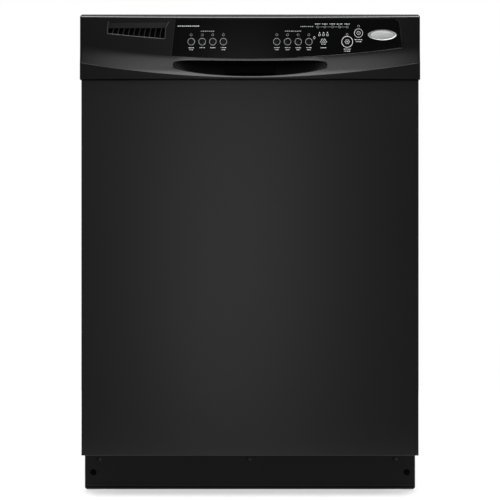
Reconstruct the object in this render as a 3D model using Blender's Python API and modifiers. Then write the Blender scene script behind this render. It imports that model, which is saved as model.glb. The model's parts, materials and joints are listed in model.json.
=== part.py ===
"""Built-in dishwasher, 24 inch class, as an assembly of separate pieces.

Frame: +X to the right as seen from the front, the door faces -Y, +Z up.
The origin is the middle of the base. All sizes below are in millimetres.
"""
import math

import bmesh
import bpy
from mathutils import Matrix, Vector

MM = 0.001
GAP = 0.3                     # clearance between pieces that touch

# overall
HALF_W = 303.2                # console half width
HEIGHT = 864.0
Y_FRONT = -311.0              # foremost point, middle of the console lip
Y_BACK = 311.0

# door
PIVOT_Y, PIVOT_Z = -245.0, 100.0
DOOR_HALF_W = 301.1
DOOR_Y0, DOOR_Y1 = -284.0, -262.3
DOOR_Z0, DOOR_Z1 = 74.5, 744.6
LINER_BACK = -238.0
LINER_RAISED = -222.0

# console
CON_Z0 = 745.5
FACE_C, FACE_E = -299.5, -289.0   # control face, middle and ends
LIP_C, LIP_E = Y_FRONT, -293.5    # curved lip, middle and ends
CREASE1_C, CREASE1_E = 781.6, 805.4
CREASE2_C, CREASE2_E = 748.0, 775.8
TOP_SLOPE = 0.21

# tub
TUB_X, TUB_Z0, TUB_Z1 = 272.0, 121.0, 845.0
TUB_BACK = 294.0
TUB_WALL = 3.0
FLANGE_Y = -233.7
OPEN_X, OPEN_Z0, OPEN_Z1 = 262.0, 138.0, 836.0
TRACK_Z = 147.8

# racks
UPPER_RACK_FRONT, LOWER_RACK_FRONT, RACK_BACK = -192.0, -186.0, 235.0
WHEEL_R = 14.0

# keys: name, x, z, radius
KEYS = [("key_cycle_%d" % (i + 1), x, 812.4, 6.6) for i, x in enumerate((-104.4, -85.0, -66.2, -47.2))]
KEYS += [("key_option_%d" % (i + 1), x, 812.4, 6.5) for i, x in enumerate((47.5, 66.7, 85.7, 104.6))]
KEYS += [("key_delay", 130.6, 812.4, 6.2), ("key_start", 172.8, 812.4, 10.5), ("key_cancel", 193.0, 828.0, 8.1)]
KEY_TRAVEL = 0.5

for old in list(bpy.data.objects):
    bpy.data.objects.remove(old, do_unlink=True)

parts = bpy.data.collections.new("built_in_dishwasher")
tools = bpy.data.collections.new("cutters")
bpy.context.scene.collection.children.link(parts)
bpy.context.scene.collection.children.link(tools)

MATERIALS = {
    "black_paint": ((0.010, 0.010, 0.011), 0.36, 0.0),
    "black_plastic": ((0.014, 0.014, 0.015), 0.34, 0.0),
    "overlay": ((0.006, 0.006, 0.007), 0.18, 0.0),
    "key": ((0.010, 0.010, 0.011), 0.22, 0.0),
    "badge": ((0.62, 0.63, 0.64), 0.28, 1.0),
    "white_plastic": ((0.78, 0.79, 0.78), 0.40, 0.0),
    "grey_plastic": ((0.42, 0.43, 0.45), 0.45, 0.0),
    "steel": ((0.55, 0.56, 0.57), 0.35, 1.0),
    "rubber": ((0.03, 0.03, 0.03), 0.75, 0.0),
    "wire": ((0.60, 0.62, 0.66), 0.35, 0.0),
    "felt": ((0.10, 0.10, 0.10), 0.95, 0.0),
    "board": ((0.03, 0.16, 0.07), 0.50, 0.0),
    "copper": ((0.45, 0.30, 0.22), 0.40, 1.0),
}


def material(key):
    mat = bpy.data.materials.get(key)
    if mat is None:
        colour, rough, metal = MATERIALS[key]
        mat = bpy.data.materials.new(key)
        mat.use_nodes = True
        shader = mat.node_tree.nodes["Principled BSDF"]
        shader.inputs["Base Color"].default_value = (*colour, 1)
        shader.inputs["Roughness"].default_value = rough
        shader.inputs["Metallic"].default_value = metal
    return mat


def link(name, mesh, coll=tools):
    obj = bpy.data.objects.new(name, mesh)
    coll.objects.link(obj)
    if coll is tools:
        obj.hide_render = True
        obj.display_type = "WIRE"
    return obj


def mesh_object(name, bm, coll=tools):
    bmesh.ops.recalc_face_normals(bm, faces=bm.faces)
    mesh = bpy.data.meshes.new(name)
    bm.to_mesh(mesh)
    bm.free()
    return link(name, mesh, coll)


def box(lo, hi, name="tool_box", bevel=0.0, segments=2, coll=tools, along=None):
    """A cube between two corners, in millimetres. along limits the bevel to the edges on one axis."""
    bm = bmesh.new()
    bmesh.ops.create_cube(bm, size=1.0)
    size = [(b - a) * MM for a, b in zip(lo, hi)]
    mid = [(a + b) / 2 * MM for a, b in zip(lo, hi)]
    bmesh.ops.scale(bm, vec=size, verts=bm.verts)
    bmesh.ops.translate(bm, vec=mid, verts=bm.verts)
    if bevel:
        edges = bm.edges[:]
        if along is not None:
            edges = [e for e in edges if abs((e.verts[1].co - e.verts[0].co).normalized()[along]) > 0.9]
        bmesh.ops.bevel(bm, geom=edges, offset=bevel * MM, segments=segments, profile=0.5, affect="EDGES")
    return mesh_object(name, bm, coll)


def cylinder(centre, axis, radius, depth, name="tool_cyl", verts=24, r2=None, coll=tools):
    bm = bmesh.new()
    bmesh.ops.create_cone(bm, cap_ends=True, segments=verts, radius1=radius * MM,
                          radius2=(radius if r2 is None else r2) * MM, depth=depth * MM)
    turn = Vector((0, 0, 1)).rotation_difference(Vector(axis).normalized()).to_matrix().to_4x4()
    bmesh.ops.transform(bm, matrix=Matrix.Translation(Vector(centre) * MM) @ turn, verts=bm.verts)
    return mesh_object(name, bm, coll)


def loft(sections, name="tool_loft", coll=tools):
    """Closed sections of equal point count, in millimetres, joined in order and capped."""
    bm = bmesh.new()
    rings = [[bm.verts.new(Vector(p) * MM) for p in s] for s in sections]
    n = len(rings[0])
    for a, b in zip(rings, rings[1:]):
        for i in range(n):
            bm.faces.new((a[i], a[(i + 1) % n], b[(i + 1) % n], b[i]))
    bm.faces.new(rings[0])
    bm.faces.new(rings[-1][::-1])
    return mesh_object(name, bm, coll)


def boolean(obj, others, op, solver="EXACT"):
    """Join or cut with each tool in turn, and keep the result as the object's mesh."""
    for other in others:
        mod = obj.modifiers.new(op.lower(), "BOOLEAN")
        mod.operation = op
        mod.object = other
        mod.solver = solver
    bpy.context.view_layer.update()
    graph = bpy.context.evaluated_depsgraph_get()
    mesh = bpy.data.meshes.new_from_object(obj.evaluated_get(graph), depsgraph=graph)
    obj.modifiers.clear()
    old = obj.data
    obj.data = mesh
    bpy.data.meshes.remove(old)
    for other in others:
        bpy.data.objects.remove(other, do_unlink=True)
    return obj


def cut(obj, *others):
    return boolean(obj, others, "DIFFERENCE")


def join(obj, *others):
    return boolean(obj, others, "UNION")


def finish(obj, name, mat, pivot=None, smooth=None):
    """Name the piece, give it its material, put its origin on its pivot and move it to the parts."""
    obj.name = name
    obj.data.name = name
    obj.data.materials.clear()
    obj.data.materials.append(material(mat))
    if pivot is not None:
        shift = Vector(pivot) * MM
        obj.data.transform(Matrix.Translation(-shift))
        obj.location = shift
    if smooth is not None:
        obj.data.shade_smooth()
        obj.data.set_sharp_from_angle(angle=math.radians(smooth))
    if obj.name not in parts.objects:
        for coll in list(obj.users_collection):
            coll.objects.unlink(obj)
        parts.objects.link(obj)
    obj.hide_render = False
    obj.display_type = "TEXTURED"
    return obj


def tube(points, radius, name="tool_tube", sides=2, cyclic=False):
    """A round wire or pipe along the points, turned into a closed mesh."""
    curve = bpy.data.curves.new(name, "CURVE")
    curve.dimensions = "3D"
    curve.bevel_depth = radius * MM
    curve.bevel_resolution = sides
    curve.use_fill_caps = True
    spline = curve.splines.new("POLY")
    spline.points.add(len(points) - 1)
    for p, co in zip(spline.points, points):
        p.co = (*(Vector(co) * MM), 1)
    spline.use_cyclic_u = cyclic
    obj = link(name, curve)
    bpy.context.view_layer.update()
    graph = bpy.context.evaluated_depsgraph_get()
    mesh = bpy.data.meshes.new_from_object(obj.evaluated_get(graph), depsgraph=graph)
    bpy.data.objects.remove(obj, do_unlink=True)
    bm = bmesh.new()
    bm.from_mesh(mesh)
    bpy.data.meshes.remove(mesh)
    bmesh.ops.remove_doubles(bm, verts=bm.verts, dist=0.00001)
    return mesh_object(name, bm)


def turned(profile, centre, name="tool_turned", steps=24, axis=(0, 0, 1)):
    """A solid of revolution: (radius, height) points from the top of the outside, down and in."""
    bm = bmesh.new()
    verts = [bm.verts.new((r * MM, 0, h * MM)) for r, h in profile]
    for a, b in zip(verts, verts[1:]):
        bm.edges.new((a, b))
    mesh = bpy.data.meshes.new(name)
    bm.to_mesh(mesh)
    bm.free()
    obj = link(name, mesh)
    mod = obj.modifiers.new("screw", "SCREW")
    mod.steps = steps
    mod.render_steps = steps
    mod.use_merge_vertices = True
    mod.merge_threshold = 0.00005
    mod.use_normal_calculate = True
    bpy.context.view_layer.update()
    graph = bpy.context.evaluated_depsgraph_get()
    baked = bpy.data.meshes.new_from_object(obj.evaluated_get(graph), depsgraph=graph)
    obj.modifiers.clear()
    obj.data = baked
    bpy.data.meshes.remove(mesh)
    bm = bmesh.new()
    bm.from_mesh(baked)
    bmesh.ops.remove_doubles(bm, verts=bm.verts, dist=0.00002)
    bmesh.ops.recalc_face_normals(bm, faces=bm.faces)
    turn = Vector((0, 0, 1)).rotation_difference(Vector(axis).normalized()).to_matrix().to_4x4()
    bmesh.ops.transform(bm, matrix=Matrix.Translation(Vector(centre) * MM) @ turn, verts=bm.verts)
    bm.to_mesh(baked)
    bm.free()
    return obj


def close(obj):
    """Fill the ring left round the axis by a turned profile and face everything outwards."""
    bm = bmesh.new()
    bm.from_mesh(obj.data)
    bmesh.ops.holes_fill(bm, edges=bm.edges, sides=0)
    bmesh.ops.recalc_face_normals(bm, faces=bm.faces)
    bm.to_mesh(obj.data)
    bm.free()
    return obj


def rounded_path(points, radius, steps=5):
    """The corners of a polyline replaced by arcs of the given radius."""
    out = [Vector(points[0])]
    for a, b, c in zip(points, points[1:], points[2:]):
        a, b, c = Vector(a), Vector(b), Vector(c)
        u, v = (a - b).normalized(), (c - b).normalized()
        half = u.angle(v) / 2
        d = radius / math.tan(half)
        mid = b + (u + v).normalized() * (radius / math.sin(half))
        start, end = b + u * d, b + v * d
        e1, e2 = start - mid, end - mid
        total = e1.angle(e2)
        for i in range(steps + 1):
            t = i / steps
            out.append(mid + (e1 * math.sin((1 - t) * total) + e2 * math.sin(t * total)) / math.sin(total))
    out.append(Vector(points[-1]))
    return out


# ---------------------------------------------------------------- console

def u2(x):
    return (x / HALF_W) ** 2


def face_y(x):
    return FACE_C + (FACE_E - FACE_C) * u2(x)


def lip_y(x):
    return LIP_C + (LIP_E - LIP_C) * u2(x)


def crease1(x):
    return CREASE1_C + (CREASE1_E - CREASE1_C) * u2(x)


def crease2(x):
    return CREASE2_C + (CREASE2_E - CREASE2_C) * u2(x)


def face_slope(x):
    return 2 * (FACE_E - FACE_C) * x / HALF_W ** 2


def scoop_y(x, t):
    """Depth of the concave band, t from 0 at the upper crease to 1 at the lip."""
    reach = face_y(x) - (lip_y(x) + 1.2)
    return face_y(x) - reach * (0.25 * t + 0.75 * t ** 2.5)


def console_section(x, steps=8):
    fy, ly, c1, c2 = face_y(x), lip_y(x), crease1(x), crease2(x)
    top = HEIGHT - TOP_SLOPE * (DOOR_Y1 - fy)
    pts = [(x, DOOR_Y1, CON_Z0), (x, ly + 1.2, CON_Z0), (x, ly, CON_Z0 + 1.1), (x, ly, c2 - 1.2),
           (x, ly + 0.35, c2 - 0.35)]
    for i in range(steps, 0, -1):
        t = i / steps
        pts.append((x, scoop_y(x, t), c1 + (c2 - c1) * t))
    pts += [(x, fy, c1), (x, fy, 822.0), (x, fy, top - 1.9), (x, fy + 0.5, top - 0.5), (x, fy + 1.9, top + 0.38),
            (x, DOOR_Y1, HEIGHT)]
    return pts


def stations(x0, x1, count):
    return [x0 + (x1 - x0) * i / (count - 1) for i in range(count)]


console = loft([console_section(x) for x in stations(-HALF_W, HALF_W, 37)], "console_loft")

# hollow behind the control face, open to the back
hollow = loft([[(x, face_y(x) + 4.0, 802.0), (x, face_y(x) + 4.0, 853.0), (x, -250.0, 853.0), (x, -250.0, 802.0)]
               for x in stations(-298, 298, 19)])
side_hollows = [box((s * 229 - 69, -284.0, 750.5), (s * 229 + 69, -250.0, 797.5)) for s in (-1, 1)]

# crescent hand pocket, deepest in the middle, running out at both ends
POCKET_X = 140.0


def pocket_section(x):
    k = math.sqrt(max(0.0, 1 - abs(x / POCKET_X) ** 2.4))
    rear = face_y(x) - 8.0 + 35.5 * k
    low = 751.2 + 13.5 * (x / POCKET_X) ** 2
    high = 777.9 + 2.4 * (x / POCKET_X) ** 2
    roof = high + (797.0 - high) * k
    throat = min(face_y(x) + 5.0, rear - 1.0)
    return [(x, -330.0, low), (x, -330.0, high), (x, throat, high), (x, throat + 0.5, roof),
            (x, rear, roof), (x, rear, low + 2.0), (x, rear - 2.0, low)]


pocket = loft([pocket_section(x) for x in stations(-POCKET_X, POCKET_X, 25)])

# recess for the keypad overlay
OVL_TOP = 852.6


def overlay_edges(z):
    f = (z - 790.0) / (OVL_TOP - 790.0)
    return -139.6 + 7.0 * f, 272.8 - 7.2 * f


def overlay_grid(front, back, grow, count=25):
    """A sheet that follows the bowed face, between two depths, widened by grow on every side."""
    secs = []
    for i in range(count):
        s = i / (count - 1)
        row = []
        l0, r0 = overlay_edges(790.0)
        l1, r1 = overlay_edges(OVL_TOP)
        xb = (l0 - grow) + (r0 - l0 + 2 * grow) * s
        xt = (l1 - grow) + (r1 - l1 + 2 * grow) * s
        zb = crease1(xb) + 1.6 - grow
        zt = OVL_TOP + grow
        row = [(xb, face_y(xb) + front, zb), (xt, face_y(xt) + front, zt),
               (xt, face_y(xt) + back, zt), (xb, face_y(xb) + back, zb)]
        secs.append(row)
    return loft(secs)


recess = overlay_grid(-20.0, 1.15, GAP)


def key_cylinder(x, z, r, front, back, verts=20, bevel=0.0):
    """A cylinder square to the bowed face, from front to back measured from the face."""
    slope = face_slope(x)
    normal = Vector((slope, -1, 0)).normalized()
    depth = back - front
    centre = Vector((x, face_y(x), z)) - normal * ((front + back) / 2)
    obj = cylinder(centre, normal, r, depth, verts=verts)
    if bevel:
        bm = bmesh.new()
        bm.from_mesh(obj.data)
        far = centre * MM + normal * (depth / 2 * MM)
        rim = [e for e in bm.edges if all((v.co - far).dot(normal) > -0.00001 for v in e.verts)]
        bmesh.ops.bevel(bm, geom=rim, offset=bevel * MM, segments=1, profile=0.5, affect="EDGES")
        bm.to_mesh(obj.data)
        bm.free()
    return obj


key_holes = [key_cylinder(x, z, r + GAP, -3.0, 7.0) for _, x, z, r in KEYS]

# vent: an upward-facing ramp over a row of upright slots
VENT_X0, VENT_X1, VENT_TOP, VENT_MID = -252.5, -145.0, 847.4, 837.0
FIN_PITCH, FIN_W = 9.4, 2.0


def vent_floor(x):
    return 827.4 + (817.9 - 827.4) * (x - VENT_X0) / (VENT_X1 - VENT_X0)


ramp = loft([[(x, -330.0, VENT_MID), (x, face_y(x) - 0.2, VENT_MID), (x, face_y(x) + 3.4, VENT_TOP), (x, -330.0, VENT_TOP)]
             for x in stations(VENT_X0, VENT_X1, 7)])
slots = []
for i in range(11):
    a = VENT_X0 + 1.6 + i * FIN_PITCH + FIN_W / 2 + (0 if i else -1.0)
    b = VENT_X0 + 1.6 + (i + 1) * FIN_PITCH - FIN_W / 2
    b = min(b, VENT_X1 - 0.5)
    slots.append(loft([[(x, -330, vent_floor(x) + 0.4), (x, -330, VENT_MID - 1.0), (x, -280, VENT_MID - 1.0),
                        (x, -280, vent_floor(x) + 0.4)] for x in (a, b)]))
fin_setback = loft([[(x, -330.0, vent_floor(x)), (x, face_y(x) + 1.4, vent_floor(x)), (x, face_y(x) + 1.4, VENT_MID - 0.6),
                     (x, -330.0, VENT_MID - 0.6)] for x in stations(VENT_X0 + 0.4, VENT_X1 - 0.4, 7)])

cut(console, hollow, *side_hollows, pocket, recess, *key_holes, ramp, fin_setback, *slots)
finish(console, "console_housing", "black_plastic", smooth=28)

overlay = overlay_grid(-0.15, 0.85, 0.0)
cut(overlay, *[key_cylinder(x, z, r + GAP, -3.0, 5.0) for _, x, z, r in KEYS])
finish(overlay, "keypad_overlay", "overlay", smooth=28)

for key_name, kx, kz, kr in KEYS:
    key = key_cylinder(kx, kz, kr, -0.35, 6.5, bevel=0.35)
    finish(key, key_name, "key", pivot=(kx, face_y(kx), kz), smooth=35)

# blank oval badge with pointed ends
BADGE_X, BADGE_Z, BADGE_A, BADGE_B = 235.2, 824.8, 26.0, 9.3
outline = []
for i in range(12):
    t = -1 + 2 * i / 12
    outline.append((BADGE_A * t, BADGE_B * (1 - abs(t) ** 2) ** 0.9))
for i in range(12):
    t = 1 - 2 * i / 12
    outline.append((BADGE_A * t, -BADGE_B * (1 - abs(t) ** 2) ** 0.9))
slope = face_slope(BADGE_X)
along = Vector((1, slope, 0)).normalized()
out = Vector((slope, -1, 0)).normalized()
base = Vector((BADGE_X, face_y(BADGE_X), BADGE_Z))
badge = loft([[base + out * d + along * (px * s) + Vector((0, 0, pz * s)) for px, pz in outline]
              for d, s in ((0.50, 1.0), (1.25, 1.0), (1.55, 0.965))])
finish(badge, "nameplate", "badge", smooth=35)

board = box((-128, -287.0, 805.0), (262, -285.4, 850.0))
join(board, box((-40, -285.6, 812), (20, -272, 842)), box((90, -285.6, 815), (140, -276, 840)))
finish(board, "control_board", "board")

# ---------------------------------------------------------------- door

panel = box((-DOOR_HALF_W, DOOR_Y0, DOOR_Z0), (DOOR_HALF_W, DOOR_Y1, DOOR_Z1), bevel=1.6, segments=2)
cut(panel, box((-DOOR_HALF_W + 1.2, DOOR_Y0 + 1.2, DOOR_Z0 + 1.2), (DOOR_HALF_W - 1.2, DOOR_Y1 + 10, DOOR_Z1 - 1.2)))
finish(panel, "door_outer_panel", "black_paint", smooth=35)

# inner liner: a pan with a raised middle, open to the front, notched at its lower corners for the hinges
LINER_Y0 = DOOR_Y1 + GAP
liner = box((-298, LINER_Y0, 75.0), (298, LINER_BACK, 851.0), bevel=3.0, segments=2, along=1)
join(liner, box((-250, -250, 150), (250, LINER_RAISED, 812), bevel=7.0, segments=2))
cut(liner,
    box((-296.4, LINER_Y0 - 10, 76.6), (296.4, LINER_BACK - 1.6, 849.4)),
    box((-248.4, -255, 151.6), (248.4, LINER_RAISED - 1.6, 810.4), bevel=6.0, segments=2),
    box((281, -275, 60), (310, -230, 142)), box((-310, -275, 60), (-281, -230, 142)),
    box((-84, -260, 458), (74, -215, 584)),
    box((-12, -260, 815), (12, -230, 836)))
finish(liner, "door_inner_liner", "grey_plastic", smooth=35)

# detergent dispenser: body through the liner, a flange on the tub side that carries the sliding lid
CUP = ((-70, -240, 476), (10, -200, 566))
disp = box((-92, LINER_RAISED + GAP, 382), (82, -213, 592), bevel=2.0, segments=1)
join(disp, box((-82, -248, 460), (72, -218, 582)))
cut(disp, box(*CUP), box((-79, -252, 463), (-74, -224, 579)), cylinder((42, -213, 528), (0, 1, 0), 13.0, 12.0))
finish(disp, "dispenser_housing", "white_plastic", smooth=35)
lid = box((-76, -212.7, 470), (16, -209.6, 572), bevel=0.8, segments=1)
join(lid, box((-40, -210.0, 476), (-20, -206.5, 484)))
finish(lid, "dispenser_lid", "grey_plastic", pivot=(-30, -212.7, 521))
cap = cylinder((42, -210.2, 528), (0, 1, 0), 16.5, 5.0, verts=24)
join(cap, box((28.5, -208.0, 525.5), (55.5, -203.5, 530.5)), cylinder((42, -213.6, 528), (0, 1, 0), 12.4, 5.0, verts=24))
finish(cap, "rinse_aid_cap", "white_plastic", pivot=(42, -212.7, 528), smooth=35)

# latch: paddle in the hand pocket, hook at the top of the door
PADDLE_Y, PADDLE_Z = -277.5, 792.0
paddle = box((-44, -279.4, 757), (44, -276.2, 790), bevel=1.0, segments=1)
join(paddle, cylinder((0, PADDLE_Y, PADDLE_Z), (1, 0, 0), 3.2, 96.0, verts=16),
     box((-44, -281.6, 757), (44, -278.0, 761), bevel=1.0, segments=1))
finish(paddle, "latch_paddle", "key", pivot=(0, PADDLE_Y, PADDLE_Z), smooth=35)
HOOK_Y, HOOK_Z = -252.0, 827.0
hook = box((-5, -256, 823.5), (5, -213, 829.0))
join(hook, box((-5, -223.5, 826), (5, -213, 831.9)), cylinder((0, HOOK_Y, HOOK_Z), (1, 0, 0), 5.0, 22.0, verts=20))
finish(hook, "latch_hook", "steel", pivot=(0, HOOK_Y, HOOK_Z), smooth=35)

# hinge arms: flat steel up inside the door, an eye on the chassis pin, a small sector for the balance cord
SECTOR_R = 16.0
ARM_X0, ARM_X1 = 285.6, 288.8
for side, s in (("left", -1), ("right", 1)):
    a, b = sorted((s * ARM_X0, s * ARM_X1))
    eye = cylinder(((a + b) / 2, PIVOT_Y, PIVOT_Z), (1, 0, 0), 11.0, b - a, verts=20)
    join(eye, box((a, -261, 92), (b, -249, 300)),
         cylinder(((a + b) / 2, PIVOT_Y, PIVOT_Z), (1, 0, 0), SECTOR_R, b - a - 0.4, verts=24))
    cut(eye, cylinder(((a + b) / 2, PIVOT_Y, PIVOT_Z), (1, 0, 0), 4.8, 20, verts=20))
    finish(eye, "hinge_arm_" + side, "steel", pivot=(0, PIVOT_Y, PIVOT_Z), smooth=35)
    # the liner rim stands on the arm's outer face

# ---------------------------------------------------------------- tub

tub = box((-TUB_X, FLANGE_Y + 1.0, TUB_Z0), (TUB_X, TUB_BACK, TUB_Z1), bevel=26.0, segments=3, along=1)
join(tub, box((-297, FLANGE_Y, 110), (297, FLANGE_Y + 2.6, 851), bevel=4.0, segments=1, along=1))
cut(tub,
    box((-TUB_X + TUB_WALL, FLANGE_Y + 2.6, TUB_Z0 + TUB_WALL), (TUB_X - TUB_WALL, TUB_BACK - TUB_WALL, TUB_Z1 - TUB_WALL),
        bevel=24.0, segments=3, along=1),
    box((-OPEN_X, FLANGE_Y - 10, OPEN_Z0), (OPEN_X, FLANGE_Y + 6, OPEN_Z1), bevel=20.0, segments=3, along=1),
    cylinder((0, 0, TUB_Z0), (0, 0, 1), 66.0, 20.0, verts=32),
    box((281, FLANGE_Y - 5, 100), (310, FLANGE_Y + 8, 124)), box((-310, FLANGE_Y - 5, 100), (-281, FLANGE_Y + 8, 124)))
join(tub, box((244, FLANGE_Y + 2.0, 122.5), (270.5, TUB_BACK - 2, TRACK_Z)),
     box((-270.5, FLANGE_Y + 2.0, 122.5), (-244, TUB_BACK - 2, TRACK_Z)))
# two ledges on each side wall hold the upper rack's rail between them
for s in (-1, 1):
    x0, x1 = sorted((s * 257.0, s * 270.5))
    join(tub, box((x0, -214, 513.5), (x1, 268, 519.7)), box((x0, -214, 538.3), (x1, 268, 544.5)))
finish(tub, "tub", "grey_plastic", smooth=35)

gasket = box((-280, -237.6, 139), (280, FLANGE_Y - GAP, 849), bevel=14.0, segments=3, along=1)
cut(gasket, box((-267, -240, 100), (267, -230, 838.5), bevel=12.0, segments=3, along=1))
finish(gasket, "tub_gasket", "rubber", smooth=35)

strike = box((-24, -229.5, 839.7), (24, -200, TUB_Z1 - TUB_WALL - GAP))
join(strike, box((-14, -229.5, 833.2), (14, -226.5, 841)))
finish(strike, "door_strike", "steel")

blanket = box((-286, -185, 150), (286, 308, 857), bevel=8.0, segments=2)
cut(blanket, box((-TUB_X - GAP, -200, 100), (TUB_X + GAP, TUB_BACK + GAP, TUB_Z1 + GAP), bevel=26.0, segments=3, along=1))
finish(blanket, "insulation_blanket", "felt", smooth=35)

# ---------------------------------------------------------------- chassis

chassis = box((-298.5, -211.2, 24), (298.5, Y_BACK, 60))
cut(chassis,
    box((-285, -208.8, 10), (285, 308.5, 80)),
    box((-296.9, -208.8, 25.6), (-280, 308.5, 58.4)), box((280, -208.8, 25.6), (296.9, 308.5, 58.4)),
    box((-270, -220, 10), (270, -200, 33)), box((-262, 300, 10), (262, 320, 33)), box((-310, -220, 55.4), (310, -206, 70)))
extra = []
for s in (-1, 1):
    lo, hi = sorted((s * 290.6, s * 298.5))
    extra.append(box((lo, -211.2, 40), (hi, -186, 109.6)))
    lo, hi = sorted((s * 291.0, s * 294.2))
    extra.append(box((lo, -245, 90.0), (hi, -190, 109.0)))
    extra.append(cylinder((s * 292.6, PIVOT_Y, 99.5), (1, 0, 0), 9.5, 3.2, verts=20))
    extra.append(cylinder((s * 287.6, PIVOT_Y, PIVOT_Z), (1, 0, 0), 4.5, 9.6, verts=16))
    lo, hi = sorted((s * 283.0, s * 298.0))
    extra.append(box((lo, 72, 50), (hi, 75, 126)))
    lo, hi = sorted((s * 262.0, s * 290.0))
    extra.append(box((lo, -150, 56), (hi, -110, 60)))
    extra.append(box((lo, 180, 56), (hi, 220, 60)))
    lo, hi = sorted((s * 262.0, s * 265.0))
    extra.append(box((lo, -150, 56), (hi, -110, 120.7)))
    extra.append(box((lo, 180, 56), (hi, 220, 120.7)))
join(chassis, *extra)
FEET = {"front_left": (-291, -172), "front_right": (291, -172), "rear_left": (-291, 270), "rear_right": (291, 270)}
SCREW_X, SCREW_Z = 286.0, 33.0
cut(chassis, *[cylinder((x, y, 24), (0, 0, 1), 5.4, 20, verts=20) for x, y in FEET.values()],
    *[cylinder((s * SCREW_X, -210, SCREW_Z), (0, 1, 0), 2.8, 12, verts=16) for s in (-1, 1)])
finish(chassis, "chassis_frame", "steel", smooth=35)

for where, (fx, fy) in FEET.items():
    foot = cylinder((fx, fy, 28.0), (0, 0, 1), 5.0, 50.0, verts=12)
    join(foot, cylinder((fx, fy, 3.0), (0, 0, 1), 11.8, 6.0, verts=20, r2=10.0),
         cylinder((fx, fy, 10.0), (0, 0, 1), 9.0, 7.0, verts=6))
    finish(foot, "foot_" + where, "black_plastic", pivot=(fx, fy, 0), smooth=35)

toe = box((-301.2, -213.0, 2.4), (301.2, -211.5, 72.0), bevel=3.0, segments=1, along=1)
cut(toe, *[cylinder((s * SCREW_X, -212, SCREW_Z), (0, 1, 0), 2.8, 12, verts=16) for s in (-1, 1)],
    box((-310, -214, 7.0), (310, -212.5, 8.6)))
finish(toe, "toe_kick_panel", "black_plastic", smooth=35)
for side, s in (("left", -1), ("right", 1)):
    head = turned([(0.0, 2.6), (2.6, 2.3), (4.2, 1.3), (4.7, 0.0), (2.4, 0.0), (2.4, -7.0), (0.0, -7.0)][1:-1],
                  (s * SCREW_X, -213.0 - GAP, SCREW_Z), steps=20, axis=(0, -1, 0))
    close(head)
    cut(head, box((s * SCREW_X - 2.6, -217, SCREW_Z - 0.5), (s * SCREW_X + 2.6, -214.6, SCREW_Z + 0.5)),
        box((s * SCREW_X - 0.5, -217, SCREW_Z - 2.6), (s * SCREW_X + 0.5, -214.6, SCREW_Z + 2.6)))
    finish(head, "toe_kick_screw_" + side, "steel", smooth=35)

for side, s in (("left", -1), ("right", 1)):
    x0, x1 = s * 215 - 15, s * 215 + 15
    foot_z = TUB_Z1 + GAP
    outline = [(-222, foot_z), (-190, foot_z), (-190, foot_z + 1.5), (-220.5, foot_z + 1.5), (-220.5, 864.0),
               (-236, 864.0), (-236, 862.5), (-222, 862.5)]
    bracket = loft([[(x, y, z) for y, z in outline] for x in (x0, x1)])
    cut(bracket, cylinder((s * 215, -229, 863), (0, 0, 1), 2.6, 8, verts=20),
        cylinder((s * 215, -204, 845), (0, 0, 1), 2.6, 8, verts=20))
    finish(bracket, "mounting_bracket_" + side, "steel")

# balance cords and door springs
SPRING_Y0, SPRING_Y1 = -118.0, 70.0
CORD_Z = PIVOT_Z + SECTOR_R + 1.3
for side, s in (("left", -1), ("right", 1)):
    cx = s * (ARM_X0 + ARM_X1) / 2
    cord = box((cx - 1.2, PIVOT_Y, CORD_Z - 0.8), (cx + 1.2, SPRING_Y0 - 12, CORD_Z + 0.8))
    join(cord, box((cx - 2.2, SPRING_Y0 - 16, CORD_Z - 3.0), (cx + 2.2, SPRING_Y0 - GAP, CORD_Z + 3.0)))
    finish(cord, "balance_cord_" + side, "key")
    coil = cylinder((cx, (SPRING_Y0 + SPRING_Y1) / 2, CORD_Z), (0, 1, 0), 5.2, SPRING_Y1 - SPRING_Y0, verts=16)
    finish(coil, "door_spring_" + side, "steel", smooth=50)

# ---------------------------------------------------------------- water parts

sump = turned([(64.5, 120.7), (80, 120.7), (80, 117.5), (70, 117.5), (65.5, 96), (51, 66), (0.0, 66)],
              (0, 0, 0), steps=20)
close(sump)
bowl = cylinder((0, 0, 98.0), (0, 0, 1), 47.0, 56.0, verts=20, r2=63.0)
cut(sump, bowl)
join(sump, cylinder((0, 0, 103), (0, 0, 1), 13.0, 70.0, verts=16), cylinder((0, 60, 84), (0, 1, 0), 22.0, 24.0, verts=16),
     cylinder((-58, 0, 84), (1, 0, 0), 18.0, 28.0, verts=16))
finish(sump, "sump_housing", "black_plastic", smooth=35)

motor = cylinder((0, 72.3 + 55, 76), (0, 1, 0), 39.0, 110.0, verts=32)
join(motor, cylinder((0, 188, 76), (0, 1, 0), 13.0, 16.0, verts=20), box((28, 105, 58), (52, 160, 92)))
finish(motor, "wash_motor", "steel", smooth=35)

pump = cylinder((-72.3 - 30, 0, 84), (1, 0, 0), 24.0, 60.0, verts=24)
join(pump, cylinder((-84, 0, 50), (0, 0, 1), 8.0, 40.0, verts=20), cylinder((-139, 0, 84), (1, 0, 0), 15.0, 20.0, verts=20))
finish(pump, "drain_pump", "white_plastic", smooth=35)

valve = box((-186, -208.5, 62), (-146, -168, 96))
join(valve, cylinder((-166, -188, 46), (0, 0, 1), 9.5, 40, verts=20), cylinder((-166, -160, 80), (0, 1, 0), 7.0, 30, verts=20),
     box((-182, -200, 94), (-150, -176, 116)))
finish(valve, "water_valve", "white_plastic", smooth=35)

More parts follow.
